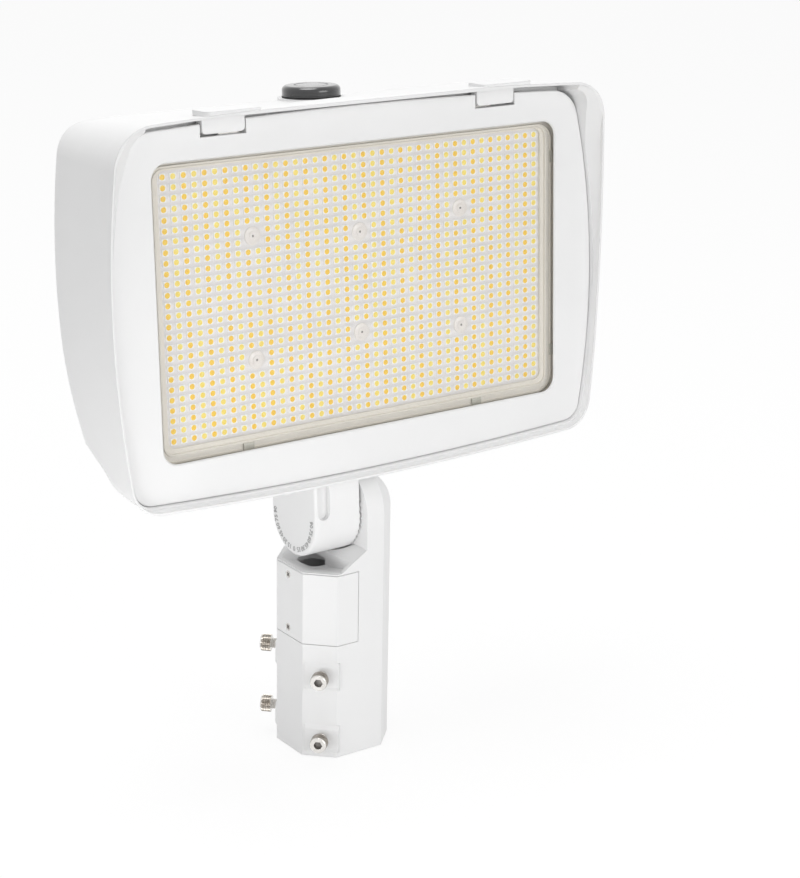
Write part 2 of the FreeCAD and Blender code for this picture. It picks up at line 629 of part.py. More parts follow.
def knuckle():
    """Round knuckle with a dial face on its left, a slotted neck up to the housing and teeth on its right."""
    radius, left = size("knuckle_radius"), -size("dial_face_offset")
    root = size("joint_offset - tooth_tip_gap / 2 - tooth_height")
    pivot = head_pivot()
    barrel = rod(radius, pivot + vec(left, 0, 0), vec(1, 0, 0), root - left)
    neck = box(left, root, pivot.y - radius, pivot.y + radius, pivot.z, -size("neck_top"))
    solid = barrel.fuse(neck).removeSplitter()
    rim = [e for e in solid.Edges if e.BoundBox.XMax < left + 0.1
           and e.CenterOfMass.z < -size("neck_top") - 0.1]
    solid = solid.makeFillet(size("knuckle_round"), rim)
    width, depth = size("neck_slot_width"), size("neck_slot_depth")
    slot_x = left + size("neck_slot_start")
    foot = pivot.z + size("neck_slot_drop")
    slot = box(slot_x, slot_x + width, pivot.y - radius - 1, pivot.y - radius + depth, foot,
               -size("neck_top"))
    slot = slot.fuse(rod(width / 2, vec(slot_x + width / 2, pivot.y - radius - 1, foot), vec(0, 1, 0),
                         depth + 1))
    teeth = ring_of_teeth(root, 1)
    phase = math.degrees(math.pi / size("tooth_count")) + size("head_tilt")
    for tooth in teeth:
        tooth.rotate(vec(0, 0, 0), vec(1, 0, 0), phase)
        tooth.translate(pivot)
    return solid.cut(slot).fuse(teeth)


def knuckle_bores():
    """Passage for the wires down through the neck, and the blind hole of the tilt bolt."""
    pivot = head_pivot()
    wires = rod(size("wire_bore_radius"),
                pivot + vec(-size("wire_bore_offset"), 0, -2 * size("knuckle_radius")),
                vec(0, 0, 1), size("head_rise"))
    bolt = rod(size("tilt_bolt_radius"), pivot + vec(size("joint_offset - tilt_bolt_engagement"), 0, 0),
               vec(1, 0, 0), size("socket_width"))
    return [wires, bolt]


def cavity():
    """Room for the gear: a mouth inside the sealing ledge and, behind the ledge, an even wall all round."""
    seat, deep, wall = -size("seat_plane"), size("cavity_depth"), size("roof_wall")
    ledge = seat + size("ledge_thickness")
    mouth = slab(mouth_outline(seat - 0.5), ledge + 1 - seat)
    room = lofted([head_section(ledge, -wall), head_section(deep, -wall)])
    roof = size("brow_top - brow_step") - wall
    low = size("cavity_bottom")
    corners = [(ledge, roof), (deep, roof - size("roof_fall")), (deep, -20), (54, -88), (32, -103),
               (22, -106),
               (ledge + 3, 3 - low), (ledge, 3 - low)]
    room = room.common(prism([vec(-260, y, z) for y, z in corners], vec(520, 0, 0)))
    return mouth.fuse(room)


def mouth_outline(y, grow=0):
    return bowed_outline(y, size("cavity_half_width"), size("cavity_top"), -size("cavity_bottom"), 0,
                         size("front_side_bow"), 16, 12, grow)


def tray_boss_spots():
    inset = size("tray_hole_inset")
    across = size("tray_half_width") - inset
    return [(x, z) for x in (-across, 0, across)
            for z in (size("tray_top") - inset, inset - size("tray_bottom"))]


def tray_bosses(envelope):
    """Round bosses from the rear wall up to the tray, kept inside the casting."""
    start = size("tray_plane + tray_thickness")
    reach = size("rear_wall_plane") - 1 - start
    bosses = []
    for x, z in tray_boss_spots():
        boss = rod(size("boss_radius"), vec(x, start, z), vec(0, 1, 0), reach).common(envelope)
        hole = rod(size("tray_screw_radius"), vec(x, start - 1, z), vec(0, 1, 0), size("tray_screw_length"))
        bosses.append(boss.cut(hole))
    return bosses


def fins():
    """Upright cooling fins on the rear wall, their ends sloped back."""
    wall, tip, half = size("rear_wall_plane - fin_root"), size("fin_depth"), size("fin_half_height")
    count, pitch, thick = int(size("fin_count")), size("fin_pitch"), size("fin_thickness")
    slope = tip - size("rear_wall_plane")
    corners = [(wall, -half), (tip, -half + slope), (tip, half - slope), (wall, half)]
    blades = []
    for k in range(count):
        x = (k - (count - 1) / 2) * pitch - thick / 2
        blades.append(prism([vec(x, y, z) for y, z in corners], vec(thick, 0, 0)))
    return blades


def brow_pads():
    """Low swellings on the brow over the hinge fingers."""
    pads = []
    for side in (-1, 1):
        middle, half = side * size("hinge_shift"), size("brow_pad_half")
        top = size("brow_top")
        back = -size("brow_depth") - 0.5
        front = -size("visor_low + visor_reach") + 1.5
        pad = box(middle - half, middle + half, front, back, top - 2, top + size("brow_pad_rise"))
        upright = [e for e in pad.Edges if e.BoundBox.ZLength > 1]
        pads.append(pad.makeFillet(5, upright))
    return pads


def hinge_fingers():
    """Lugs under the brow that reach down into the door's cut-outs and carry its pins."""
    fingers = []
    for side in (-1, 1):
        middle, half = side * size("hinge_shift"), size("lug_width / 2")
        front, rear = -size("lug_front"), -size("lug_rear")
        top, low = size("brow_top") - 1, size("lug_bottom")
        finger = box(middle - half, middle + half, front, rear, low, top)
        corners = [e for e in finger.Edges if e.BoundBox.YLength > 1 and abs(e.CenterOfMass.z - low) < 0.1]
        finger = finger.makeFillet(3, corners)
        bore = rod(size("hinge_pin_radius"),
                   vec(middle - half - 1, -size("hinge_plane"), size("hinge_height")),
                   vec(1, 0, 0), 2 * half + 2)
        fingers.append(finger.cut(bore))
    return fingers


def door_screw_spots():
    return [(side * size("door_screw_shift"), -size("door_screw_height")) for side in (-1, 1)]


def door_screw_holes():
    """Stepped holes through the bottom flange for the captive screws."""
    seat, holes = -size("seat_plane"), []
    for x, z in door_screw_spots():
        holes.append(rod(size("door_screw_radius"), vec(x, seat - 1, z), vec(0, 1, 0), 60))
        holes.append(rod(size("door_screw_recess"), vec(x, size("door_screw_seat"), z), vec(0, 1, 0), 60))
    return holes


def door_pocket():
    """The pocket that the door lies in: its drafted outline and a gap, with room for its corners to swing up."""
    front, seat, gap = -size("front_depth") - 1, -size("seat_plane"), size("door_gap")
    return lofted([door_outline(y, gap, "pocket_top_corner") for y in (front, seat)])


def visor_flare():
    """The visor's lining beyond the pocket's edge: a fine step low down, opening out in the upper corners."""
    rear, front = -size("flare_rear"), -size("front_depth") - 1
    half, top, low = size("door_half_width"), size("door_top + brow_rise"), -size("door_bottom")
    back_wire = bowed_outline(rear, half + size("flare_step"), top, low - size("flare_sill"),
                              -size("door_bow_drop"),
                              size("door_side_bow"), size("flare_top_corner"), size("door_bottom_corner"))
    corner = size("flare_front_corner")
    front_wire = bowed_outline(front, half + size("flare_front_half"), top + 2, low - size("flare_fall"),
                               size("flare_front_middle"), size("flare_front_bow"), corner, corner)
    return lofted([front_wire, back_wire])


def door_recess():
    """Pocket and flare, with headroom under the brow for the door's swing, all inside the visor's wall."""
    top, behind, seat = size("brow_top - brow_wall"), -size("brow_depth") - 2, -size("seat_plane")
    wall, half = -size("visor_wall"), size("door_half_width - door_top_corner")
    headroom = box(-half, half, -60, seat, size("lug_bottom"), top)
    well = door_pocket().fuse([visor_flare(), headroom])
    well = well.common(lofted([head_section(-size("front_depth") - 1, wall), head_section(seat, wall)]))
    front = well.common(box(-260, 260, -60, behind, -260, top))
    return front.fuse(well.common(box(-260, 260, behind, seat, -260, size("door_top + door_head_gap"))))


def rear_well():
    """The shallow well in the back that the fins stand in."""
    wall, rear, rim = size("rear_wall_plane"), size("rear_depth"), -size("rear_rim")
    return lofted([head_section(wall, rim), head_section(rear + 6, rim)])


def cell_spot():
    return vec(-size("cell_x"), size("cell_y"), size("cell_pad_top"))


def housing():
    """The head's casting: visor, ledge, gear room, finned back, brow and knuckle in one piece."""
    rear = size("rear_depth")
    envelope = lofted([head_section(-size("front_depth")), head_section(rear)]).common(housing_side())
    pad_radius, up = size("cell_pad_radius"), vec(0, 0, 1)
    solid = envelope.fuse([knuckle()] + brow_pads()).cut(rod(pad_radius, cell_spot(), up, pad_radius))
    solid = solid.fuse(rod(pad_radius, cell_spot() - up * pad_radius / 2, up, pad_radius / 2))
    solid = solid.cut([door_recess(), rear_well(), cavity()] + knuckle_bores() + door_screw_holes())
    solid = solid.fuse(fins() + tray_bosses(envelope) + hinge_fingers())
    deep = size("cell_socket_depth") + 3
    socket_hole = rod(size("cell_socket_radius"), cell_spot() - up * deep, up, 2 * deep)
    return shaped("housing", solid.removeSplitter().cut(socket_hole), head=True)


# Gear inside the head
def tray_hole_places():
    return [(across, up) for across in ("tray_hole_inset - tray_half_width", "0 * tray_plane",
                                        "tray_half_width - tray_hole_inset")
            for up in ("tray_top - tray_hole_inset", "tray_hole_inset - tray_bottom")]


def gear_tray():
    """Flat plate with clipped corners that the board lies on; its screws are sunk flush."""
    body = doc.addObject("PartDesign::Body", "gear_tray_plate")
    outline = new_sketch(body, "tray_outline", "XZ_Plane", "-tray_plane")
    edge, top, low, cut = "tray_half_width", "tray_top", "-tray_bottom", "tray_corner"
    polygon(outline, [
        (f"{cut} - {edge}", low), (f"{edge} - {cut}", low), (edge, f"{low} + {cut}"),
        (edge, f"{top} - {cut}"),
        (f"{edge} - {cut}", top), (f"{cut} - {edge}", top), (f"-{edge}", f"{top} - {cut}"),
        (f"-{edge}", f"{low} + {cut}")])
    extrude(body, "Pad", outline, "tray_thickness", "tray_pad", backwards=True)
    holes = new_sketch(body, "tray_holes", "XZ_Plane", "-tray_plane - tray_thickness")
    sinks = new_sketch(body, "tray_sinks", "XZ_Plane", "-tray_plane - tray_screw_sink")
    for across, up in tray_hole_places():
        circle(holes, across, up, "tray_screw_radius")
        circle(sinks, across, up, "tray_screw_head")
    extrude(body, "Pocket", holes, "2 * tray_thickness", "tray_drilling", backwards=True)
    extrude(body, "Pocket", sinks, "2 * tray_screw_sink", "tray_sinking", backwards=True)
    return finish(body, "gear_tray", head=True)


def pan_screw(label, radius, head_radius, head_height, length):
    """A pan-head screw along +Z whose head stands above its seat at zero."""
    return turned(label, [
        ("0 * " + radius, "-" + length), (radius, "-" + length), (radius, "0 * " + radius),
        (head_radius, "0 * " + radius), (head_radius, head_height), ("0 * " + radius, head_height)])


def tray_screws():
    form = pan_screw("tray_screw_form", "tray_screw_radius", "tray_screw_head", "tray_screw_sink",
                     "tray_screw_length")
    seat = size("tray_plane + tray_screw_sink")
    spots = [(vec(x, seat, z), vec(0, -1, 0)) for x, z in tray_boss_spots()]
    return copies("tray_screws", form, spots, head=True)


def board_screw_cells():
    """Grid places, in columns and rows, where a screw takes the room of four packages."""
    return [(8.5, 6.5), (8.5, 18.5), (19.5, 7.5), (19.5, 17.5), (30.5, 6.5), (30.5, 18.5)]


def led_place(column, row):
    across = (column - (size("led_columns") - 1) / 2) * size("led_pitch_across")
    up = ((size("led_rows") - 1) / 2 - row) * size("led_pitch_down")
    return across, up


def led_board():
    body = doc.addObject("PartDesign::Body", "led_board_plate")
    outline = new_sketch(body, "board_outline", "XZ_Plane", "0 * tray_plane")
    edge, top = "board_half_width", "board_half_height"
    polygon(outline, [("-" + edge, "-" + top), (edge, "-" + top), (edge, top), ("-" + edge, top)])
    extrude(body, "Pad", outline, "board_thickness", "board_pad", backwards=True)
    holes = new_sketch(body, "board_holes", "XZ_Plane", "-board_thickness")
    for column, row in board_screw_cells():
        across = f"({column} - (led_columns - 1) / 2) * led_pitch_across"
        up = f"((led_rows - 1) / 2 - {row}) * led_pitch_down"
        circle(holes, across, up, "board_screw_radius")
    extrude(body, "Pocket", holes, "2 * board_thickness", "board_drilling", backwards=True)
    return finish(body, "led_board", head=True)


def board_screws():
    form = pan_screw("board_screw_form", "board_screw_radius", "board_screw_head", "0.8", "board_thickness")
    spots = []
    for column, row in board_screw_cells():
        across, up = led_place(column, row)
        spots.append((vec(across, 0, up), vec(0, -1, 0)))
    return copies("board_screws", form, spots, head=True)


def led_dome(across, up):
    """One package as a low four-sided cap that sits on the board."""
    a, b, tip = size("led_width / 2"), size("led_length / 2"), -size("led_height")
    base = [vec(across - a, 0, up - b), vec(across + a, 0, up - b), vec(across + a, 0, up + b),
            vec(across - a, 0, up + b)]
    peak = vec(across, tip, up)
    faces = [Part.Face(Part.makePolygon(base + base[:1]))]
    for k in range(4):
        p, q = base[k], base[(k + 1) % 4]
        faces.append(Part.Face(Part.makePolygon([p, q, peak, p])))
    return Part.Solid(Part.Shell(faces))


def leds(label, first_column):
    """Every second column of packages, without the four that each board screw displaces."""
    domes = []
    for column in range(first_column, int(size("led_columns")), 2):
        for row in range(int(size("led_rows"))):
            if any(abs(column - c) < 1 and abs(row - r) < 1 for c, r in board_screw_cells()):
                continue
            domes.append(led_dome(*led_place(column, row)))
    return shaped(label, Part.makeCompound(domes), head=True)


def light_frame():
    """Moulded frame round the board: a wall behind the lens's edge and a low lip on the board."""
    front, rear, lip = -size("frame_front"), size("tray_plane"), size("frame_lip")
    outer = rounded_window(front, size("frame_outer_half"), size("frame_top"), size("frame_bottom"), 16,
                           rear - front)
    half, tall = size("frame_inner_half"), size("frame_inner_height")
    tight = 3 * (half - size("board_half_width"))
    well = rounded_window(front - 1, half, tall, tall, tight, rear - front + 2)
    strip = rounded_window(-size("frame_lip_height"), half + 0.5, tall + 0.5, tall + 0.5, tight,
                           size("frame_lip_height"))
    sight = rounded_window(-size("frame_lip_height") - 1, half - lip, tall - lip, tall - lip, 6,
                           rear - front)
    return shaped("light_frame", outer.cut(well).fuse(strip).cut(sight).removeSplitter(), head=True)


def driver(label, side):
    """A driver in its case with a mounting ear at each end, screwed to the rear wall."""
    length, width, height = size("driver_length"), size("driver_width"), size("driver_height")
    wall = size("cavity_depth")
    x, z = side * size("driver_shift"), size("driver_rise")
    case = box(x - length / 2, x + length / 2, wall - height, wall, z - width / 2, z + width / 2)
    case = case.makeChamfer(2, [e for e in case.Edges if e.BoundBox.XLength > 1
                                and e.CenterOfMass.y < wall - 1])
    ear = size("driver_ear")
    plate = box(x - length / 2 - ear, x + length / 2 + ear, wall - size("driver_ear_thickness"), wall,
                z - width / 3, z + width / 3)
    holes = [rod(size("driver_screw_radius"), vec(a, wall - height, c), vec(0, 1, 0), 2 * height)
             for a, c in driver_screw_spots(side)]
    return shaped(label, case.fuse(plate).removeSplitter().cut(holes), head=True)


def driver_screw_spots(side):
    x, z = side * size("driver_shift"), size("driver_rise")
    reach = size("driver_length / 2 + driver_ear / 2")
    return [(x + way * reach, z + up * size("driver_width / 5")) for way in (-1, 1) for up in (-1, 1)]


def driver_screws():
    form = pan_screw("driver_screw_form", "driver_screw_radius", "2 * driver_screw_radius",
                     "1.2 * driver_screw_radius", "driver_ear_thickness")
    seat = size("cavity_depth - driver_ear_thickness")
    spots = [(vec(x, seat, z), vec(0, -1, 0)) for side in (-1, 1) for x, z in driver_screw_spots(side)]
    return copies("driver_screws", form, spots, head=True)


def surge_protector():
    can = doc.addObject("Part::Cylinder", "surge_can")
    can.setExpression("Radius", bound("surge_radius"))
    can.setExpression("Height", bound("surge_length"))
    turn = FreeCAD.Placement(vec(0, 0, 0), FreeCAD.Rotation(vec(0, 1, 0), 90))
    can.Placement = turn
    can.setExpression("Placement.Base.x", bound("driver_shift - surge_length / 2"))
    can.setExpression("Placement.Base.y", bound("cavity_depth - surge_radius"))
    can.setExpression("Placement.Base.z", bound("surge_rise"))
    group = doc.addObject("Part::Compound", "surge_protector")
    group.Links = [can]
    return finish(group, "surge_protector", head=True)


def terminal_block():
    """Row of screw terminals on the rear wall, with one well for each wire."""
    length, width, height = size("terminal_length"), size("terminal_width"), size("terminal_height")
    wall, middle, z = size("cavity_depth"), -size("driver_shift"), size("surge_rise")
    block = box(middle - length / 2, middle + length / 2, wall - height, wall, z - width / 2, z + width / 2)
    pitch, wells = length / 5, []
    for k in range(5):
        x = middle - length / 2 + (k + 0.5) * pitch
        wells.append(rod(0.3 * pitch, vec(x, wall - height - 1, z), vec(0, 1, 0), 6))
    return shaped("terminal_block", block.cut(wells), head=True)


# Photocell
def cell_origin(z=0):
    return vec(-size("cell_x"), size("cell_y"), z)


def blade_angles():
    return [0, 120, 240]


def blade_slots():
    """Curved slots that the blades turn in, wide enough for the whole twist."""
    circle_radius, half = size("blade_circle"), size("blade_thickness / 2 + blade_slot_clearance")
    sweep = size("cell_turn") + math.degrees(size("blade_width + 2 * blade_slot_clearance") / circle_radius)
    start = -math.degrees(size("blade_width / 2 + blade_slot_clearance") / circle_radius)
    top, deep = size("cell_pad_top") + 2, size("blade_length") + 6
    slots = []
    for angle in blade_angles():
        ring = Part.makeCylinder(circle_radius + half, deep, cell_origin(top - deep), vec(0, 0, 1), sweep)
        core = Part.makeCylinder(circle_radius - half, deep, cell_origin(top - deep), vec(0, 0, 1), 360)
        slot = ring.cut(core)
        slot.rotate(cell_origin(), vec(0, 0, 1), angle + start)
        slots.append(slot)
    return slots


def photocell_socket():
    """Receptacle in the roof, flush with its pad, with a flange below the roof."""
    top, deep = size("cell_pad_top"), size("cell_socket_depth")
    solid = rod(size("cell_socket_radius"), cell_origin(top - deep), vec(0, 0, 1), deep)
    return shaped("photocell_socket", solid.cut(blade_slots()), head=True)


def photocell_gasket():
    top = size("cell_pad_top")
    solid = rod(size("cell_radius"), cell_origin(top), vec(0, 0, 1), size("cell_gasket_thickness"))
    hole = rod(size("cell_socket_radius - 2"), cell_origin(top - 1), vec(0, 0, 1), 5)
    return shaped("photocell_gasket", solid.cut(hole), head=True)


def photocell():
    """Low round cap with a rounded shoulder, turned in one piece."""
    base = "cell_pad_top + cell_gasket_thickness + cell_gap"
    top, shoulder = base + " + cell_height", "cell_shoulder"
    body = turned("photocell_cap", [
        ("0 * cell_radius", base), ("cell_radius", base), ("cell_radius", f"{top} - {shoulder}"),
        (f"cell_radius - 0.13 * {shoulder}", f"{top} - 0.5 * {shoulder}"),
        (f"cell_radius - 0.5 * {shoulder}", f"{top} - 0.13 * {shoulder}"),
        (f"cell_radius - {shoulder}", top), ("0 * cell_radius", top)])
    return copies("photocell", body, [(cell_origin(), vec(0, 0, 1))], head=True)


def photocell_blades():
    base = size("cell_pad_top + cell_gasket_thickness + cell_gap")
    half, width, length = size("blade_thickness / 2"), size("blade_width / 2"), size("blade_length")
    blades = []
    for angle in blade_angles():
        middle = size("blade_circle")
        blade = box(middle - half, middle + half, -width, width, base - length, base)
        blade.rotate(vec(0, 0, 0), vec(0, 0, 1), angle)
        blade.translate(cell_origin())
        blades.append(blade)
    return shaped("photocell_blades", Part.makeCompound(blades), head=True)


# Door
def door_outline(y, grow=0, top_corner="door_top_corner"):
    """The door's outline at the depth y: full size at its face, drawn in towards the rear."""
    grow -= size("door_draft") * (y + size("door_face"))
    return bowed_outline(y, size("door_half_width"), size("door_top"), -size("door_bottom"),
                         -size("door_bow_drop"),
                         size("door_side_bow"), size(top_corner), size("door_bottom_corner"), grow)


def door_frame():
    """Flat cast door with a rounded edge, window, rebate for the lens and cut-outs for the fingers."""
    rear, face = -size("door_rear"), -size("door_face")
    solid = lofted([door_outline(face), door_outline(rear)])
    rim = [e for e in solid.Edges if abs(e.BoundBox.YMin - face) < 1e-3 and e.BoundBox.YLength < 1e-3]
    solid = solid.makeFillet(size("door_edge_round"), rim)
    window = rounded_window(face - 1, size("window_half_width"), size("window_top"), size("window_bottom"),
                            size("window_corner"), 20)
    bevel = size("window_bevel")
    mouth = lofted([window_wire(face, bevel), window_wire(face + bevel, 0)])
    room = size("lens_gap")
    rebate_front = -size("lens_front + lens_gasket")
    rebate = rounded_window(rebate_front, size("lens_half_width") + room, size("lens_top") + room,
                            size("lens_bottom") + room, size("lens_corner"), 20)
    cuts = [window, mouth, rebate] + finger_cutouts() + door_screw_sockets() + pin_bores() + clip_seats()
    return shaped("door_frame", solid.cut(cuts).removeSplitter(), head=True)


def window_wire(y, grow):
    solid = rounded_window(y, size("window_half_width") + grow, size("window_top") + grow,
                           size("window_bottom") + grow, size("window_corner") + grow, 1)
    flat = [f for f in solid.Faces if abs(f.CenterOfMass.y - y) < 1e-6 and f.BoundBox.YLength < 1e-6]
    return flat[0].OuterWire


def finger_cutouts():
    cuts = []
    for side in (-1, 1):
        middle, half = side * size("hinge_shift"), size("lug_width / 2 + lug_gap")
        cuts.append(box(middle - half, middle + half, -60, 10, size("lug_bottom - lug_drop_gap"),
                        2 * size("door_top")))
    return cuts


def pin_bores():
    bores = []
    for side in (-1, 1):
        half = size("lug_width / 2 + lug_gap + hinge_pin_grip")
        start = vec(side * size("hinge_shift") - half, -size("hinge_plane"), size("hinge_height"))
        bores.append(rod(size("hinge_pin_radius"), start, vec(1, 0, 0), 2 * half))
    return bores


def hinge_pins():
    """Pins pressed into the door that turn in the fingers with a running fit."""
    pins = []
    radius, fit = size("hinge_pin_radius"), size("hinge_fit")
    grip, wide = size("hinge_pin_grip"), size("lug_width / 2 + lug_gap")
    for side in (-1, 1):
        start = vec(side * size("hinge_shift") - wide - grip, -size("hinge_plane"), size("hinge_height"))
        pin = rod(radius - fit, start, vec(1, 0, 0), 2 * (wide + grip))
        for end in (0, grip + 2 * wide):
            pin = pin.fuse(rod(radius, start + vec(end, 0, 0), vec(1, 0, 0), grip))
        pins.append(pin.removeSplitter())
    return shaped("hinge_pins", Part.makeCompound(pins), head=True)


def door_screw_sockets():
    """Blind holes in the door's rear that the captive screws enter."""
    holes = []
    for x, z in door_screw_spots():
        start = vec(x, -size("door_face") + size("door_boss_floor"), z)
        holes.append(rod(size("door_screw_radius + door_screw_clearance"), start, vec(0, 1, 0), 20))
    return holes


def door_screws():
    """Captive screws behind the bottom flange."""
    form = turned("door_screw_form", [
        ("0 * door_screw_radius", "-door_screw_seat - door_rear - door_screw_bite"),
        ("door_screw_radius", "-door_screw_seat - door_rear - door_screw_bite"),
        ("door_screw_radius", "0 * door_screw_radius"),
        ("door_screw_head", "0 * door_screw_radius"), ("door_screw_head", "door_screw_head_height"),
        ("0 * door_screw_radius", "door_screw_head_height")])
    spots = [(vec(x, size("door_screw_seat"), z), vec(0, 1, 0)) for x, z in door_screw_spots()]
    return copies("door_screws", form, spots, head=True)


def lens():
    front, depth = -size("lens_front"), size("lens_thickness")
    pane = rounded_window(front, size("lens_half_width"), size("lens_top"), size("lens_bottom"),
                          size("lens_corner"),
                          depth)
    return shaped("lens", pane, head=True)


def lens_gasket():
    thick, margin = size("lens_gasket"), size("gasket_margin")
    front = -size("lens_front") - thick
    outer = rounded_window(front, size("lens_half_width"), size("lens_top"), size("lens_bottom"),
                           size("lens_corner"),
                           thick)
    inner = rounded_window(front - 1, size("window_half_width") + margin, size("window_top") + margin,
                           size("window_bottom") + margin, size("window_corner"), 5)
    return shaped("lens_gasket", outer.cut(inner), head=True)


def clip_spots():
    """Place of each lens clip on the lens's edge, and the way that it points outward."""
    across, up = size("clip_across"), size("clip_up")
    edge, top, low = size("lens_half_width"), size("lens_top"), -size("lens_bottom")
    spots = [(x, top, 0, 1) for x in (-across, across)] + [(x, low, 0, -1) for x in (-across, across)]
    return spots + [(x * edge, z, x, 0) for x in (-1, 1) for z in (-up, up)]


def clip_plane():
    return -size("lens_front") + size("lens_thickness")


def clip_block(spot, front, rear, inward, outward, half):
    x, z, ox, oz = spot
    if ox:
        low, high = sorted((x - ox * inward, x + ox * outward))
        return box(low, high, front, rear, z - half, z + half)
    low, high = sorted((z - oz * inward, z + oz * outward))
    return box(x - half, x + half, front, rear, low, high)


def clip_seats():
    """Sunk seats in the door's rear, level with the lens's back."""
    half, outward = size("clip_length / 2") + 0.5, size("clip_width - clip_overlap") + 0.5
    return [clip_block(s, clip_plane(), 0, 1, outward, half) for s in clip_spots()]


def clip_screw_spots():
    reach = size("(clip_width - clip_overlap) / 2 + lens_gap / 2")
    return [(x + ox * reach, z + oz * reach) for x, z, ox, oz in clip_spots()]


def lens_clips():
    front, thick = clip_plane(), size("clip_thickness")
    half, outward = size("clip_length / 2"), size("clip_width - clip_overlap")
    clips = []
    for spot, (x, z) in zip(clip_spots(), clip_screw_spots()):
        plate = clip_block(spot, front, front + thick, size("clip_overlap"), outward, half)
        clips.append(plate.cut(rod(size("clip_screw_radius"), vec(x, front - 1, z), vec(0, 1, 0), 5)))
    return shaped("lens_clips", Part.makeCompound(clips), head=True)


def clip_screws():
    form = pan_screw("clip_screw_form", "clip_screw_radius", "clip_screw_head", "0.6", "clip_thickness")
    seat = clip_plane() + size("clip_thickness")
    spots = [(vec(x, seat, z), vec(0, 1, 0)) for x, z in clip_screw_spots()]
    return copies("clip_screws", form, spots, head=True)


def door_gasket():
    """Seal in the housing's seat, all round the cavity's mouth."""
    front = -size("door_rear") + size("seal_gap")
    depth = -size("seat_plane") - front
    width, margin = size("seal_width"), size("seal_margin")

    outer = slab(mouth_outline(front, margin + width), depth)
    inner = slab(mouth_outline(front - 1, margin), depth + 2)
    return shaped("door_gasket", outer.cut(inner), head=True)


def build():
    slip_fitter()
    wiring_cover()
    cover_gasket()
    cover_screws()
    clamp_bolts()
    tilt_bolt()
    tilt_washer()
    housing()
    gear_tray()
    tray_screws()
    led_board()
    board_screws()
    leds("warm_leds", 0)
    leds("cool_leds", 1)
    light_frame()
    driver("led_driver_left", -1)
    driver("led_driver_right", 1)
    driver_screws()
    surge_protector()
    terminal_block()
    photocell_socket()
    photocell_gasket()
    photocell()
    photocell_blades()
    door_frame()
    hinge_pins()
    door_gasket()
    door_screws()
    lens()
    lens_gasket()
    lens_clips()
    clip_screws()


def write_parts():
    doc.recompute()
    for obj in doc.Objects:
        if any(word in obj.State for word in ("Invalid", "Error")):
            raise RuntimeError(f"{obj.Label} failed: {obj.State}")
    for obj in parts:
        if obj.Shape.isNull() or not obj.Shape.isValid():
            raise RuntimeError(f"{obj.Label} has no valid shape")
    for obj in parts:
        obj.Shape.exportStep(f"parts/{obj.Label}.step")
        box_of = obj.Shape.BoundBox
        print(obj.Label, len(obj.Shape.Solids), round(obj.Shape.Volume / 1000, 2),
              [round(v, 1) for v in (box_of.XMin, box_of.XMax, box_of.YMin, box_of.YMax, box_of.ZMin,
                                     box_of.ZMax)])


build()
write_parts()
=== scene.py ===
# %% [markdown]
# # A floodlight that tilts on a slip fitter
#
# The model comes in as a fixed frame: its castings, bolts and glass stay where they are. This lesson
# dresses it. Most pieces only need a finish, and a few small ones are modelled again with the detail
# that the eye looks for: the LED packages, the knurled bolts, the photocell and the dial's numerals.
#
# One thing about the whole is worth keeping in mind. The head leans back a little on its knuckle, so
# everything on it is first drawn in the head's own upright frame and then leaned into place.

# %% Load the frame and measure it
import math

import bmesh
import bpy
from mathutils import Matrix, Vector


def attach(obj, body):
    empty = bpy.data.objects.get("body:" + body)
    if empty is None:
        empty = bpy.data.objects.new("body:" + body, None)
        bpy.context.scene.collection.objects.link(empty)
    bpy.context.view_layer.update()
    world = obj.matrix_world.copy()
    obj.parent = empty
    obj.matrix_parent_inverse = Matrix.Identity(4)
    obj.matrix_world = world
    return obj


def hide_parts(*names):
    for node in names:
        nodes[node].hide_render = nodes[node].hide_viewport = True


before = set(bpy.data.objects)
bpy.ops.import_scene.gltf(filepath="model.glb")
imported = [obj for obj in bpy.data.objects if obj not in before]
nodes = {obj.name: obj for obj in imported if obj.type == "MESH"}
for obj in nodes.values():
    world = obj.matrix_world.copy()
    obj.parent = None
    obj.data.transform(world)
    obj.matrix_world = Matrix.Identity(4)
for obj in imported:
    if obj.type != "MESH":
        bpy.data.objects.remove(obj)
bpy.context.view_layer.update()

# %% [markdown]
# The tilt pivot is the middle of the toothed joint. The head's frame has its origin in the middle of
# the LED board's front: X to the right, Y to the rear, Z up. The pivot lies behind and below it. Working
# in millimetres there keeps the numbers close to what a ruler on the real lamp would read.

# %% The head's own frame
MM = 0.001
LEAN = math.radians(3.3)
PIVOT = Vector((0, 0, 0.184))
BOARD_TO_PIVOT = Vector((0, 39.6, -177))

head_frame = (Matrix.Translation(PIVOT) @ Matrix.Rotation(-LEAN, 4, "X") @ Matrix.Scale(MM, 4)
              @ Matrix.Translation(-BOARD_TO_PIVOT))
mount_frame = Matrix.Scale(MM, 4)
print("board centre in the row's frame:", [round(v, 4) for v in head_frame.translation])


# %% [markdown]
# Every new piece ends the same way: its bmesh is leaned or scaled into place, its normals are made to
# point outwards, and the object itself stays at the origin, as the frame's own pieces do. A helper does
# that, so that no step is forgotten.

# %% A helper that turns a finished bmesh into a piece
def make_piece(name, bm, place, body, replaces=(), smooth=35):
    bmesh.ops.remove_doubles(bm, verts=bm.verts, dist=1e-4)
    bmesh.ops.recalc_face_normals(bm, faces=bm.faces)
    mesh = bpy.data.meshes.new(name)
    bm.to_mesh(mesh)
    bm.free()
    mesh.transform(place)
    piece = bpy.data.objects.new(name, mesh)
    bpy.context.scene.collection.objects.link(piece)
    mesh.shade_smooth()
    mesh.set_sharp_from_angle(angle=math.radians(smooth))
    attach(piece, body)
    if replaces:
        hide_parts(*replaces)
    print(name, "faces:", len(mesh.polygons))
    return piece


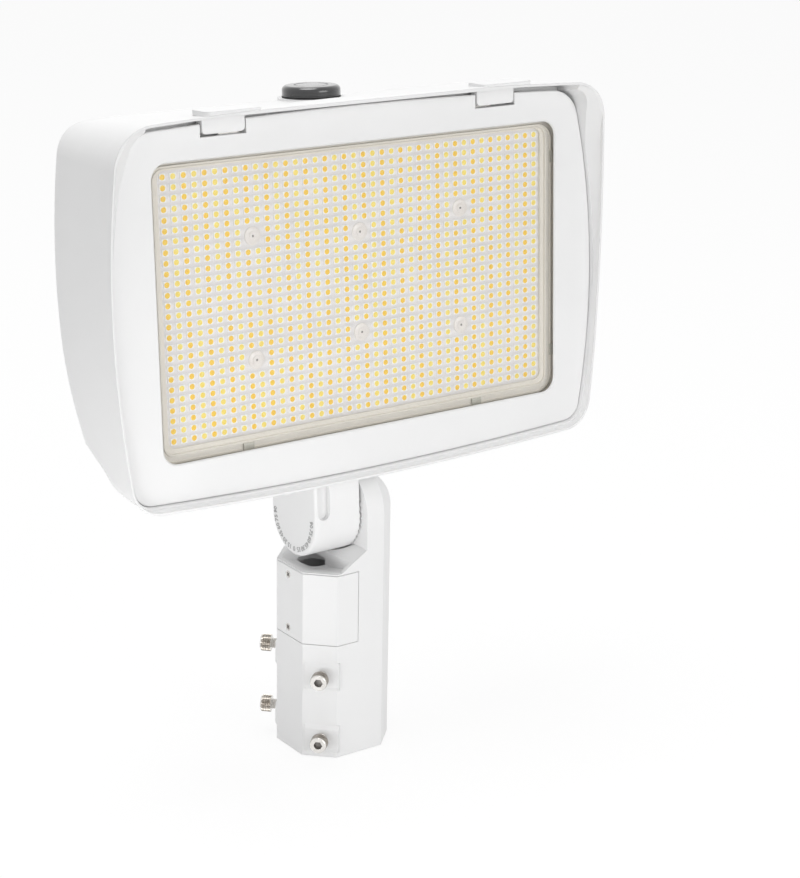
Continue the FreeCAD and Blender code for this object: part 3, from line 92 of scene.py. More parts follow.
# %% [markdown]
# ## Finishes
#
# A powder coat is a thin plastic skin, melted on: its gloss is soft, and it is never quite flat. A fine
# ripple, like an orange's peel, breaks the reflections up. The same kind of fine unevenness is on the
# moulded and the rolled surfaces at other scales, so it is worth a shader group with its scale as an
# input. The group gives a height for the bump and a slow mask for slight changes of tone.

# %% A shared group: fine surface unevenness
def build_unevenness():
    group = bpy.data.node_groups.new("fine_unevenness", "ShaderNodeTree")
    group.interface.new_socket(name="Vector", in_out="INPUT", socket_type="NodeSocketVector")
    for name, value in (("Fine scale", 900.0), ("Slow scale", 14.0)):
        socket = group.interface.new_socket(name=name, in_out="INPUT", socket_type="NodeSocketFloat")
        socket.default_value = value
    group.interface.new_socket(name="Height", in_out="OUTPUT", socket_type="NodeSocketFloat")
    group.interface.new_socket(name="Tone", in_out="OUTPUT", socket_type="NodeSocketFloat")
    tree, link = group.nodes, group.links.new
    start, end = tree.new("NodeGroupInput"), tree.new("NodeGroupOutput")
    fine, slow = tree.new("ShaderNodeTexNoise"), tree.new("ShaderNodeTexNoise")
    fine.inputs["Detail"].default_value = 2.0
    slow.inputs["Detail"].default_value = 3.0
    link(start.outputs["Vector"], fine.inputs["Vector"])
    link(start.outputs["Vector"], slow.inputs["Vector"])
    link(start.outputs["Fine scale"], fine.inputs["Scale"])
    link(start.outputs["Slow scale"], slow.inputs["Scale"])
    link(fine.outputs["Fac"], end.inputs["Height"])
    link(slow.outputs["Fac"], end.inputs["Tone"])
    return group


unevenness = build_unevenness()
outputs = [s.name for s in unevenness.interface.items_tree if s.in_out == "OUTPUT"]
print("group:", unevenness.name, "outputs:", outputs)


# %% [markdown]
# Each finish starts from the same small tree: object coordinates into the group, the slow mask mixing
# two near tones, and the fine height into a bump. What makes a finish its own is set on the shader.

# %% A helper that starts a finish
def new_finish(name, tone_a, tone_b, roughness, fine=900.0, slow=14.0, bump=0.1, depth=0.0001):
    material = bpy.data.materials.new(name)
    material.use_nodes = True
    tree, link = material.node_tree.nodes, material.node_tree.links.new
    shader = tree["Principled BSDF"]
    shader.inputs["Roughness"].default_value = roughness
    place, grain = tree.new("ShaderNodeTexCoord"), tree.new("ShaderNodeGroup")
    grain.node_tree = unevenness
    grain.inputs["Fine scale"].default_value = fine
    grain.inputs["Slow scale"].default_value = slow
    link(place.outputs["Object"], grain.inputs["Vector"])
    ramp = tree.new("ShaderNodeValToRGB")
    ramp.color_ramp.elements[0].position = 0.35
    ramp.color_ramp.elements[0].color = (*tone_a, 1)
    ramp.color_ramp.elements[1].position = 0.65
    ramp.color_ramp.elements[1].color = (*tone_b, 1)
    link(grain.outputs["Tone"], ramp.inputs["Fac"])
    link(ramp.outputs["Color"], shader.inputs["Base Color"])
    ripple = tree.new("ShaderNodeBump")
    ripple.inputs["Strength"].default_value = bump
    ripple.inputs["Distance"].default_value = depth
    link(grain.outputs["Height"], ripple.inputs["Height"])
    link(ripple.outputs["Normal"], shader.inputs["Normal"])
    return material, shader


def dress(finish, *names):
    """Puts one finish on frame pieces or new ones."""
    for name in names:
        target = nodes[name] if isinstance(name, str) else name
        target.data.materials.clear()
        target.data.materials.append(finish)


# %% [markdown]
# ### White powder coat
#
# The castings are all sprayed the same neutral white. A real coat rounds every sharp edge a little, and
# that thin bright or dark line is what tells the eye that a casting isn't folded paper. Modelling all
# those tiny rounds would cost a great many faces, so a Bevel node bends the normals near the edges
# instead, and the ripple is laid over it.

# %% The white coat
white_coat, shader = new_finish("white_powder_coat", (0.84, 0.84, 0.84), (0.865, 0.865, 0.865), 0.42,
                                fine=1500.0, slow=9.0, bump=0.18, depth=0.00012)
shader.inputs["Specular IOR Level"].default_value = 0.45
rounding = white_coat.node_tree.nodes.new("ShaderNodeBevel")
rounding.samples = 6
rounding.inputs["Radius"].default_value = 0.0007
ripple = next(n for n in white_coat.node_tree.nodes if n.type == "BUMP")
white_coat.node_tree.links.new(rounding.outputs["Normal"], ripple.inputs["Normal"])
dress(white_coat, "housing", "door_frame", "slip_fitter", "wiring_cover")
print("white coat on four castings")

# %% [markdown]
# ### Stainless steel
#
# The bolts and clips are bare stainless steel. Its tone wanders a little from place to place, and a very
# fine ripple blurs what it mirrors. A much darker, duller copy of the steel is painted shade, kept for what
# lies in a recess.

# %% The steel
steel, shader = new_finish("stainless_steel", (0.58, 0.565, 0.54), (0.68, 0.665, 0.64), 0.26,
                           fine=2500.0, slow=60.0, bump=0.15, depth=0.00005)
shader.inputs["Metallic"].default_value = 1.0
dress(steel, "tilt_bolt", "tilt_washer", "tray_screws", "driver_screws", "hinge_pins", "door_screws",
      "lens_clips", "clip_screws", "cover_screws")
# A near-black copy of the steel: painted shade for recesses and holes.
recess_painted_shade, shader = new_finish("recess_shade_steel", (0.16, 0.15, 0.14), (0.26, 0.245, 0.23), 0.4,
                                fine=2500.0, slow=200.0)
shader.inputs["Metallic"].default_value = 0.8
print("steel on the fasteners")

# %% [markdown]
# ### Rubber, aluminium and the parts inside
#
# The seals are black silicone, dull and soft. The tray behind the board is plain aluminium sheet. The
# drivers are in grey painted cases. None of these is in plain view, but they show when the door swings
# open, so they get their real finishes too.

# %% The inner finishes
rubber, _ = new_finish("black_silicone", (0.025, 0.025, 0.026), (0.045, 0.045, 0.046), 0.62, bump=0.2)
dress(rubber, "cover_gasket", "photocell_gasket", "door_gasket")

sheet_metal, shader = new_finish("tray_aluminium", (0.66, 0.67, 0.68), (0.74, 0.75, 0.76), 0.34, fine=1200.0)
shader.inputs["Metallic"].default_value = 1.0
dress(sheet_metal, "gear_tray")

grey_case, _ = new_finish("driver_case_grey", (0.19, 0.20, 0.215), (0.23, 0.24, 0.255), 0.5, bump=0.3)
dress(grey_case, "led_driver_left", "led_driver_right")

dull_black, _ = new_finish("moulded_black", (0.018, 0.018, 0.02), (0.03, 0.03, 0.033), 0.45, bump=0.15)
dress(dull_black, "photocell_socket", "surge_protector", "terminal_block")

contact, shader = new_finish("plated_brass", (0.72, 0.55, 0.25), (0.80, 0.63, 0.32), 0.28, fine=2200.0)
shader.inputs["Metallic"].default_value = 1.0
dress(contact, "photocell_blades")
print("inner finishes:", [m.name for m in (rubber, sheet_metal, grey_case, dull_black, contact)])

# %% [markdown]
# ### The board and its moulded frame
#
# The LED board is a metal-core board under a pale, slightly warm solder mask. Between the packages run
# faint rows of copper under the mask, which read as thin grey lines. They lie along the rows, one pitch
# apart, so a wave texture across the height draws them, turned by the head's lean. A wave texture counts
# its scale in steps of pi / 10, hence the factor. The frame round the board and the seal under the
# glass are cream, which is why the window's rim looks beige from aside.

# %% The board
TRACK_PITCH = 0.0072

board_mask, shader = new_finish("board_mask", (0.80, 0.775, 0.755), (0.86, 0.835, 0.815), 0.34, fine=1400.0,
                                slow=45.0, bump=0.08)
tree, link = board_mask.node_tree.nodes, board_mask.node_tree.links.new
turn, stripes = tree.new("ShaderNodeMapping"), tree.new("ShaderNodeTexWave")
tracks = tree.new("ShaderNodeMix")
turn.inputs["Rotation"].default_value = (LEAN, 0, 0)
stripes.bands_direction = "Z"
stripes.inputs["Scale"].default_value = math.pi / (10 * TRACK_PITCH)
tracks.data_type = "RGBA"
tracks.blend_type = "MULTIPLY"
tracks.inputs["Factor"].default_value = 0.12
link(next(n for n in tree if n.type == "TEX_COORD").outputs["Object"], turn.inputs["Vector"])
link(turn.outputs["Vector"], stripes.inputs["Vector"])
link(next(n for n in tree if n.type == "VALTORGB").outputs["Color"], tracks.inputs["A"])
link(stripes.outputs["Color"], tracks.inputs["B"])
link(tracks.outputs["Result"], shader.inputs["Base Color"])
dress(board_mask, "led_board")

cream, _ = new_finish("cream_plastic", (0.76, 0.72, 0.64), (0.81, 0.77, 0.69), 0.46, fine=1100.0)
dress(cream, "light_frame")
cream_rubber, _ = new_finish("cream_silicone", (0.60, 0.55, 0.47), (0.66, 0.61, 0.53), 0.58, bump=0.15)
dress(cream_rubber, "lens_gasket")
print("board finishes ready")

# %% [markdown]
# ### Clear glass
#
# Light has to get through the pane to the board and out again. A path tracer treats the shadow of real
# glass as solid, which would leave the board dark. So for shadow rays, and for light that has already
# bounced softly, the pane lets light straight through, and for the rest it is plain clear glass.

# %% The glass
glass = bpy.data.materials.new("clear_glass")
glass.use_nodes = True
tree, link = glass.node_tree.nodes, glass.node_tree.links.new
pane = tree["Principled BSDF"]
pane.inputs["Base Color"].default_value = (0.99, 0.99, 0.99, 1)
pane.inputs["Roughness"].default_value = 0.03
pane.inputs["Transmission Weight"].default_value = 1.0
pane.inputs["IOR"].default_value = 1.45
rays, through = tree.new("ShaderNodeLightPath"), tree.new("ShaderNodeBsdfTransparent")
pick, either = tree.new("ShaderNodeMixShader"), tree.new("ShaderNodeMath")
either.operation = "MAXIMUM"
through.inputs["Color"].default_value = (0.97, 0.97, 0.97, 1)
link(rays.outputs["Is Shadow Ray"], either.inputs[0])
link(rays.outputs["Is Diffuse Ray"], either.inputs[1])
link(either.outputs["Value"], pick.inputs[0])
link(pane.outputs["BSDF"], pick.inputs[1])
link(through.outputs["BSDF"], pick.inputs[2])
link(pick.outputs["Shader"], tree["Material Output"].inputs["Surface"])
dress(glass, "lens")
print("glass on the lens")

# %% [markdown]
# ## The LED packages
#
# The light comes from more than a thousand small packages in a grid of forty columns and twenty-six
# rows. Each is a white moulded tray, a little wider than tall, whose cup is filled with phosphor. Two
# whites of light are mixed by columns: an orange phosphor and a paler yellow one. Six places in the
# grid are left free for the board's screws.
#
# One package is drawn once: a tray, which is a box without its back, with the face inset once for the
# rim, and a round, slightly domed filling in it. The filling is a disc of ten sides poked in its
# middle, so that it shades as a dome. The rest are copies of that small mesh, moved along the grid.

# %% The grid, in millimetres
COLUMNS, ROWS = 40, 26
PITCH_ACROSS, PITCH_DOWN = 8.0, 7.2
SCREW_CELLS = [(8.5, 6.5), (8.5, 18.5), (19.5, 7.5), (19.5, 17.5), (30.5, 6.5), (30.5, 18.5)]


def led_place(column, row):
    return Vector(((column - (COLUMNS - 1) / 2) * PITCH_ACROSS, 0, ((ROWS - 1) / 2 - row) * PITCH_DOWN))


def is_free(column, row):
    return all(abs(column - c) > 1 or abs(row - r) > 1 for c, r in SCREW_CELLS)


print("packages:", sum(is_free(c, r) for c in range(COLUMNS) for r in range(ROWS)))


# %% One package
TRAY_WIDE, TRAY_DEEP, TRAY_HIGH, TRAY_WALL = 5.0, 0.5, 4.6, 0.3
FILL_RADIUS, FILL_PROUD, FILL_DOME = 2.05, 0.03, 0.13


def one_package():
    bm = bmesh.new()
    bmesh.ops.create_cube(bm, size=1.0)
    bmesh.ops.scale(bm, vec=(TRAY_WIDE, TRAY_DEEP, TRAY_HIGH), verts=bm.verts)
    bmesh.ops.translate(bm, vec=(0, -TRAY_DEEP / 2, 0), verts=bm.verts)
    front = min(bm.faces, key=lambda f: f.calc_center_median().y)
    back = max(bm.faces, key=lambda f: f.calc_center_median().y)
    bmesh.ops.delete(bm, geom=[back], context="FACES_ONLY")
    bmesh.ops.inset_region(bm, faces=[front], thickness=TRAY_WALL, depth=0)
    disc = bmesh.ops.create_circle(bm, cap_ends=True, segments=10, radius=FILL_RADIUS)
    face = disc["verts"][0].link_faces[0]
    bmesh.ops.rotate(bm, matrix=Matrix.Rotation(math.radians(90), 3, "X"), verts=disc["verts"])
    bmesh.ops.translate(bm, vec=(0, -TRAY_DEEP - FILL_PROUD, 0), verts=disc["verts"])
    fan = bmesh.ops.poke(bm, faces=[face])
    bmesh.ops.translate(bm, vec=(0, -FILL_DOME, 0), verts=fan["verts"])
    for piece in fan["faces"]:
        piece.material_index = 1
    return bm


sample = one_package()
print("faces in a package:", len(sample.faces))
sample.free()

# %% [markdown]
# The package's tray is a white ceramic. The phosphor is a clear silicone full of powder: saturated in
# colour and smooth on top, so it gets a thin, nearly clear coat. Its red is near one and its blue near
# none, because such a filling turns blue daylight into its own colour and throws that back as well.

# %% The package's finishes
ceramic, _ = new_finish("led_tray_white", (0.92, 0.915, 0.905), (0.95, 0.95, 0.945), 0.26,
                        slow=300.0, bump=0.05)


def phosphor(name, deep, pale):
    material, shader = new_finish(name, deep, pale, 0.3, fine=3000.0, slow=420.0, bump=0.05)
    shader.inputs["Coat Weight"].default_value = 0.4
    shader.inputs["Coat Roughness"].default_value = 0.12
    return material


warm_fill = phosphor("phosphor_orange", (0.92, 0.545, 0.004), (0.95, 0.64, 0.015))
cool_fill = phosphor("phosphor_yellow", (0.92, 0.70, 0.07), (0.95, 0.78, 0.16))
print("phosphors ready")


# %% Fill the board with packages
def plant_packages(name, first_column, fill, node):
    source = one_package()
    template = bpy.data.meshes.new("package_template")
    source.to_mesh(template)
    source.free()
    bm = bmesh.new()
    for column in range(first_column, COLUMNS, 2):
        for row in range(ROWS):
            if not is_free(column, row):
                continue
            start = len(bm.verts)
            bm.from_mesh(template)
            bm.verts.ensure_lookup_table()
            bmesh.ops.translate(bm, vec=led_place(column, row), verts=bm.verts[start:])
    bpy.data.meshes.remove(template)
    piece = make_piece(name, bm, head_frame, "head", (node,))
    piece.data.materials.append(ceramic)
    piece.data.materials.append(fill)
    return piece


warm_packages = plant_packages("warm_packages", 0, warm_fill, "warm_leds")
cool_packages = plant_packages("cool_packages", 1, cool_fill, "cool_leds")

# %% [markdown]
# ## The stepped rim behind the glass
#
# Between the board and the door's window, the moulded frame has two low ribs with grooves beside them,
# and a clip at eight places. Seen through the glass from aside, they are the beige lines along the
# window's edge. The moulding is one cream; the brown band behind the outer rib is painted shadow, and the
# grooves are painted paler than the cream, as painted light against the shade near the door's edge.
# Each line is a rounded rectangle, made from a circle whose four quarters are moved apart. It is then
# extruded line by line, out and up the steps, and at last back under itself, which closes the rim.

# %% A helper that extrudes an open ring
def widen(bm, verts, lift, scale=1.0, finish=0):
    """Extrudes a ring upwards, scales it about the axis, and gives the new ring."""
    edges = {e for v in verts for e in v.link_edges if all(w in verts for w in e.verts)}
    grown = bmesh.ops.extrude_edge_only(bm, edges=list(edges))["geom"]
    ring = {v for v in grown if isinstance(v, bmesh.types.BMVert)}
    bmesh.ops.translate(bm, vec=(0, 0, lift), verts=list(ring))
    bmesh.ops.scale(bm, vec=(scale, scale, 1), verts=list(ring))
    for face in grown:
        if isinstance(face, bmesh.types.BMFace):
            face.material_index = finish
    return ring


# %% The rim's rounded rectangle, stepped outwards
LIP_FRONT = -2.0
HALF, TALL, CORNER = 160.0, 94.0, 3.0
TOP_SHARE = 0.36
CREAM, GROOVE_PAINTED_LIGHT, SHADE = range(3)


def corner_centres(grow):
    """The rim has less room above than at the sides: its upper corners rise by a share of each step."""
    for side in (-1, 1):
        yield Vector((side * (HALF - CORNER), CORNER - TALL, 0))
        yield Vector((side * (HALF - CORNER), TALL - CORNER - (1 - TOP_SHARE) * grow, 0))


def quarters(ring, centres):
    for centre in centres:
        yield centre, [v for v in ring if v.co.x * centre.x > 0 and v.co.y * centre.y > 0]


def stepped_rim(levels):
    bm = bmesh.new()
    grow, lift, _ = levels[0]
    ring = bmesh.ops.create_circle(bm, segments=36, radius=CORNER + grow)["verts"]
    bmesh.ops.rotate(bm, matrix=Matrix.Rotation(math.radians(5), 3, "Z"), verts=ring)
    for centre, part in quarters(ring, corner_centres(grow)):
        bmesh.ops.translate(bm, vec=centre, verts=part)
    for next_grow, next_lift, finish in levels[1:] + [(grow, lift, CREAM)]:
        ring = widen(bm, ring, next_lift - lift, finish=finish)
        scale = (CORNER + next_grow) / (CORNER + grow)
        corners = quarters(ring, corner_centres(grow))
        for (centre, part), new_centre in zip(corners, corner_centres(next_grow)):
            bmesh.ops.scale(bm, vec=(scale, scale, 1), space=Matrix.Translation(-centre), verts=part)
            bmesh.ops.translate(bm, vec=new_centre - centre, verts=part)
        grow, lift = next_grow, next_lift
    bmesh.ops.rotate(bm, matrix=Matrix.Rotation(math.radians(90), 3, "X"), verts=bm.verts)
    bmesh.ops.translate(bm, vec=(0, LIP_FRONT, 0), verts=bm.verts)
    return bm


# Each level: how far out from the lip, how high over it, and the finish of the band that leads there.
lip = [(1.6, 0.0, CREAM), (1.8, 0.25, CREAM), (4.0, 0.25, CREAM)]
inner_rib = [(4.2, 1.7, CREAM), (5.6, 1.7, CREAM), (5.9, 0.85, CREAM), (9.3, 0.85, GROOVE_PAINTED_LIGHT)]
outer_rib = [(9.5, 1.6, CREAM), (10.6, 1.6, CREAM), (10.8, 0.85, SHADE), (11.9, 0.85, SHADE)]
border = [(16.8, 0.85, GROOVE_PAINTED_LIGHT)]
window_rim = make_piece("window_rim", stepped_rim(lip + inner_rib + outer_rib + border), head_frame, "head")
# Painted light: the grooves are a paler cream than the moulding. Painted shadow: the brown band behind the
# outer rib.
groove_painted_light, _ = new_finish("groove_cream_painted_light", (0.82, 0.78, 0.70), (0.87, 0.835, 0.76), 0.5, fine=1100.0)
shade_line, _ = new_finish("shadow_brown", (0.46, 0.41, 0.34), (0.52, 0.47, 0.39), 0.6, fine=1100.0)
for finish in (cream, groove_painted_light, shade_line):
    window_rim.data.materials.append(finish)

# %% [markdown]
# The clips are moulded tongues: a flat block with its front edges bevelled, over the outer rib. There are
# two on each long side and two on each short side, where they are narrower.

# %% Eight clips on the rim
CLIP_WIDE, CLIP_THICK, CLIP_FRONT = 8.5, 0.9, -4.5
LONG_SIDE_CLIP, SHORT_SIDE_CLIP = 5.4, 3.4
LONG_SIDE_PLACE, SHORT_SIDE_PLACE = (99, 102.2), (170.2, 73)

bm = bmesh.new()
for side in (-1, 1):
    for end in (1, -1):
        for (across, up), deep, turn in ((LONG_SIDE_PLACE, LONG_SIDE_CLIP, 0),
                                         (SHORT_SIDE_PLACE, SHORT_SIDE_CLIP, 90)):
            block = bmesh.ops.create_cube(bm, size=1.0)["verts"]
            bmesh.ops.scale(bm, vec=(CLIP_WIDE, CLIP_THICK, deep), verts=block)
            bmesh.ops.rotate(bm, matrix=Matrix.Rotation(math.radians(turn), 3, "Y"), verts=block)
            place = (across * side, CLIP_FRONT + CLIP_THICK / 2, up * end)
            bmesh.ops.translate(bm, vec=place, verts=block)
edges = [e for e in bm.edges if all(v.co.y < CLIP_FRONT + 0.2 for v in e.verts)]
bmesh.ops.bevel(bm, geom=edges, offset=0.35, segments=2, profile=0.5, affect="EDGES", material=-1)
rim_clips = make_piece("rim_clips", bm, head_frame, "head")
clip_grey, _ = new_finish("clip_greige", (0.50, 0.49, 0.42), (0.56, 0.545, 0.475), 0.4, fine=1100.0)
dress(clip_grey, rim_clips)

# %% [markdown]
# ## The board's washers
#
# Each of the board's six screws holds it through a soft, milky plastic washer, a little over one and a
# half steps of the grid wide. It is so near to the board's colour that only its rim and a slight shine
# give it away. It is a disc with a bevelled rim and a hole, laid round the screw's head. The extrusion
# that made the rim makes it too: up, in over the bevel, across to the hole, down, and out again under
# itself.

# %% Six milky washers
WASHER, WASHER_HOLE, WASHER_THICK = 6.4, 3.05, 0.6
BEVEL_IN, BEVEL_DOWN = 0.4, 0.25
SCREW_TOP, RECESS = -0.83, 0.9
FACE_FRONT = Matrix.Rotation(math.radians(90), 4, "X")


def ring_washer(bm, place):
    start = len(bm.verts)
    ring = set(bmesh.ops.create_circle(bm, segments=40, radius=WASHER)["verts"])
    ring = widen(bm, ring, WASHER_THICK - BEVEL_DOWN)
    ring = widen(bm, ring, BEVEL_DOWN, 1 - BEVEL_IN / WASHER)
    ring = widen(bm, ring, 0.0, WASHER_HOLE / (WASHER - BEVEL_IN))
    ring = widen(bm, ring, -WASHER_THICK)
    widen(bm, ring, 0.0, WASHER / WASHER_HOLE)
    bm.verts.ensure_lookup_table()
    bmesh.ops.transform(bm, matrix=place, verts=bm.verts[start:])


milky, shader = new_finish("milky_nylon", (0.80, 0.755, 0.71), (0.85, 0.81, 0.765), 0.32,
                           fine=700.0, slow=160.0, bump=0.3)
shader.inputs["Subsurface Weight"].default_value = 0.2
shader.inputs["Subsurface Radius"].default_value = (0.002, 0.002, 0.0018)
bm = bmesh.new()
for column, row in SCREW_CELLS:
    ring_washer(bm, Matrix.Translation(led_place(column, row)) @ FACE_FRONT)
board_washers = make_piece("board_washers", bm, head_frame, "head")
dress(milky, board_washers, "board_screws")

# %% Painted shade in the screws' recesses
# Each board screw gets a dark disc on its head: painted shade where its recess is.
bm = bmesh.new()
for column, row in SCREW_CELLS:
    disc = bmesh.ops.create_circle(bm, segments=12, radius=RECESS, cap_ends=True)["verts"]
    place = Matrix.Translation(led_place(column, row) + Vector((0, SCREW_TOP, 0))) @ FACE_FRONT
    bmesh.ops.transform(bm, matrix=place, verts=disc)
screw_recess_shades = make_piece("screw_recess_shades", bm, head_frame, "head")
dress(recess_painted_shade, screw_recess_shades)

# %% [markdown]
# The wiring cover's two screws have a cross recess, drawn as two dark bars laid just proud of each head:
# painted shade. Where they are is read from the frame: the front of each head is the part of the piece
# that lies furthest to the left.

# %% Two crosses of painted shade
BAR_THICK, BAR_LONG, BAR_WIDE, BAR_PROUD = 0.0002, 0.0038, 0.0011, 0.00005
FLAT = 0.0003

places = [v.co for v in nodes["cover_screws"].data.vertices]
front = min(p.x for p in places)
heads = [p for p in places if p.x < front + FLAT]
middle = sum(p.z for p in heads) / len(heads)
bm = bmesh.new()
for group in ([p for p in heads if p.z < middle], [p for p in heads if p.z > middle]):
    centre = sum(group, Vector()) / len(group)
    for turn in (45, 135):
        bar = bmesh.ops.create_cube(bm, size=1.0)["verts"]
        bmesh.ops.scale(bm, vec=(BAR_THICK, BAR_LONG, BAR_WIDE), verts=bar)
        bmesh.ops.rotate(bm, matrix=Matrix.Rotation(math.radians(turn), 3, "X"), verts=bar)
        bmesh.ops.translate(bm, vec=(front - BAR_PROUD, centre.y, centre.z), verts=bar)
cover_cross_shades = make_piece("cover_cross_shades", bm, Matrix.Identity(4), "mount")
dress(recess_painted_shade, cover_cross_shades)

# %% [markdown]
# ## The clamp bolts
#
# Four socket-head bolts clamp the tenon. What makes such a bolt is its straight knurl, cut in bands
# round the head, a shiny chamfered face and a dark hexagonal hole. The knurl needs real ridges, because
# their shadows make the head look dark from aside, and its steel is painted darker still, as painted
# shade. The hole's walls are painted near black, as painted shade too. A circle with every second point
# pushed in is extruded up the head, and pinched between the bands. The hole starts as one more ring on
# the face, whose points are moved in or out until they lie on a hexagon. The shank grows downwards from
# the first circle and is pinched too, which leaves a row of low rings for the thread.

# %% The head's knurled side
RIDGES, VALLEY = 42, 0.93
BOLT_HEAD, BOLT_HEIGHT, FOOT_RADIUS = 6.45, 8.0, 5.95
BANDS, BAND_HIGH, PINCH, PINCH_HIGH, PINCH_FLAT = 4, 1.45, 0.955, 0.12, 0.16


def knurled_side(bm):
    """Gives the top ring of the knurl and the edges of the circle at the head's foot."""
    ring = set(bmesh.ops.create_circle(bm, segments=2 * RIDGES, radius=FOOT_RADIUS)["verts"])
    foot = list({e for v in ring for e in v.link_edges})
    ring = widen(bm, ring, 0.0, BOLT_HEAD / FOOT_RADIUS)
    around = sorted(ring, key=lambda v: math.atan2(v.co.y, v.co.x))
    bmesh.ops.scale(bm, vec=(VALLEY, VALLEY, 1), verts=around[1::2])
    for band in range(BANDS):
        ring = widen(bm, ring, BAND_HIGH)
        if band < BANDS - 1:
            ring = widen(bm, ring, PINCH_HIGH, PINCH)
            ring = widen(bm, ring, PINCH_FLAT)
            ring = widen(bm, ring, PINCH_HIGH, 1 / PINCH)
    return ring, foot


# %% The head's face with its hexagonal hole
CHAMFER, FACE_RADIUS, FACE_SHARE = 0.35, 6.03, 0.95
HOLE_FLAT, HOLE_DEEP, HOLE_SHARE, MOUTH_SHARE = 2.95, 2.4, 0.7, 0.92


def on_hexagon(v):
    """Moves a point along its radius to the side of a hexagon."""
    bend = (math.atan2(v.co.y, v.co.x) + math.pi / 6) % (math.pi / 3) - math.pi / 6
    v.co.xy = v.co.xy.normalized() * HOLE_FLAT / math.cos(bend)


def face_with_hole(bm, ring, knurl_top):
    ring = widen(bm, ring, BOLT_HEIGHT - CHAMFER - knurl_top)
    for v in ring:
        v.co.xy = v.co.xy.normalized() * FACE_RADIUS
    ring = widen(bm, ring, CHAMFER, FACE_SHARE)
    ring = widen(bm, ring, 0.0, HOLE_SHARE)
    for v in ring:
        on_hexagon(v)
    ring = widen(bm, ring, -CHAMFER, MOUTH_SHARE)
    widen(bm, ring, -HOLE_DEEP)
    rim = [e for e in bm.edges if e.is_boundary and e.verts[0].co.z > 1]
    bmesh.ops.contextual_create(bm, geom=rim)


# %% The shank and the whole bolt
SHANK, THREADS, HALF_THREAD, THREAD_ROOT = 4.0, 9, 0.625, 0.90
REACH, TIP = 55.4, 31.6
SEAT = REACH - BOLT_HEIGHT
KNURL_FROM, HOLE_WITHIN = 5.5, 3.0
HOLE_LOW, HOLE_HIGH = BOLT_HEIGHT - 2.8, BOLT_HEIGHT - 0.1
PLAIN, KNURL, HOLE = range(3)


def threaded_shank(bm, foot):
    grown = bmesh.ops.extrude_edge_only(bm, edges=foot)["geom"]
    ring = {v for v in grown if isinstance(v, bmesh.types.BMVert)}
    share = SHANK / FOOT_RADIUS
    bmesh.ops.scale(bm, vec=(share, share, 1), verts=list(ring))
    for thread in range(THREADS):
        ring = widen(bm, ring, -HALF_THREAD, THREAD_ROOT)
        ring = widen(bm, ring, -HALF_THREAD, 1 / THREAD_ROOT)
    widen(bm, ring, TIP - SEAT + 2 * THREADS * HALF_THREAD)
    bmesh.ops.contextual_create(bm, geom=[e for e in bm.edges if e.is_boundary])


def one_bolt():
    bm = bmesh.new()
    ring, foot = knurled_side(bm)
    knurl_top = max(v.co.z for v in ring)
    face_with_hole(bm, ring, knurl_top)
    threaded_shank(bm, foot)
    bmesh.ops.recalc_face_normals(bm, faces=bm.faces)
    for face in bm.faces:
        middle = face.calc_center_median()
        knurl = middle.xy.length > KNURL_FROM and 0 < middle.z < knurl_top
        hole = middle.xy.length < HOLE_WITHIN and HOLE_LOW < middle.z < HOLE_HIGH
        face.material_index = KNURL if knurl else HOLE if hole else PLAIN
    return bm


sample = one_bolt()
print("faces in a bolt:", len(sample.faces), "open edges:", sum(not e.is_manifold for e in sample.edges))
sample.free()

# %% [markdown]
# The bolts stand on the two left corners of the socket, square to the bevels, one above the other. The
# rear pair is a little higher than the front pair.

# %% Four bolts on the socket
FRONT_CORNER, REAR_CORNER = (16, -135), (21, 135)
PAIR_SPACING = 50.5


def plant_bolts():
    source = one_bolt()
    template = bpy.data.meshes.new("bolt_template")
    source.to_mesh(template)
    source.free()
    bm = bmesh.new()
    for lowest, corner in (FRONT_CORNER, REAR_CORNER):
        for height in (lowest, lowest + PAIR_SPACING):
            start = len(bm.verts)
            bm.from_mesh(template)
            bm.verts.ensure_lookup_table()
            stand = (Matrix.Translation((0, 0, height)) @ Matrix.Rotation(math.radians(corner), 4, "Z")
                     @ Matrix.Rotation(math.radians(90), 4, "Y") @ Matrix.Translation((0, 0, SEAT)))
            bmesh.ops.transform(bm, matrix=stand, verts=bm.verts[start:])
    bpy.data.meshes.remove(template)
    return make_piece("knurled_bolts", bm, mount_frame, "mount", ("clamp_bolts",), smooth=28)


bolt_steel, shader = new_finish("bolt_steel", (0.70, 0.68, 0.65), (0.82, 0.80, 0.77), 0.27,
                                fine=2500.0, slow=240.0, bump=0.12, depth=0.00005)
shader.inputs["Metallic"].default_value = 1.0
# The knurl's steel is a darkened copy of the bolt's steel: painted shade.
knurl_painted_shade, shader = new_finish("knurl_painted_shade", (0.27, 0.245, 0.215), (0.46, 0.43, 0.39), 0.22,
                                fine=2500.0, slow=420.0, bump=0.12, depth=0.00005)
shader.inputs["Metallic"].default_value = 1.0
knurled_bolts = plant_bolts()
# The hole's walls take the near-black steel, painted shade.
for finish in (bolt_steel, knurl_painted_shade, recess_painted_shade):
    knurled_bolts.data.materials.append(finish)

# %% [markdown]
# ## The photocell
#
# The cap on the roof is one glossy black moulding: a low drum with a soft shoulder, a shallow step
# round its crown and a fine parting line above its foot. One profile is spun about its axis. Its finish
# is a smooth black plastic whose coat is clear and hard.

# %% The photocell's cap
def spun(profile, steps):
    bm = bmesh.new()
    points = [bm.verts.new((x, 0, z)) for x, z in profile]
    edges = [bm.edges.new(pair) for pair in zip(points, points[1:])]
    bmesh.ops.spin(bm, geom=points + edges, axis=(0, 0, 1), cent=(0, 0, 0), angle=math.tau, steps=steps,
                   use_merge=True)
    bmesh.ops.remove_doubles(bm, verts=bm.verts, dist=1e-4)
    return bm


CAP_FOOT, CAP_TOP, CAP_WALL, CAP_AXIS = 126.9, 134.6, 20.9, (-3, 51, 0)
SHOULDER_STEPS = 8


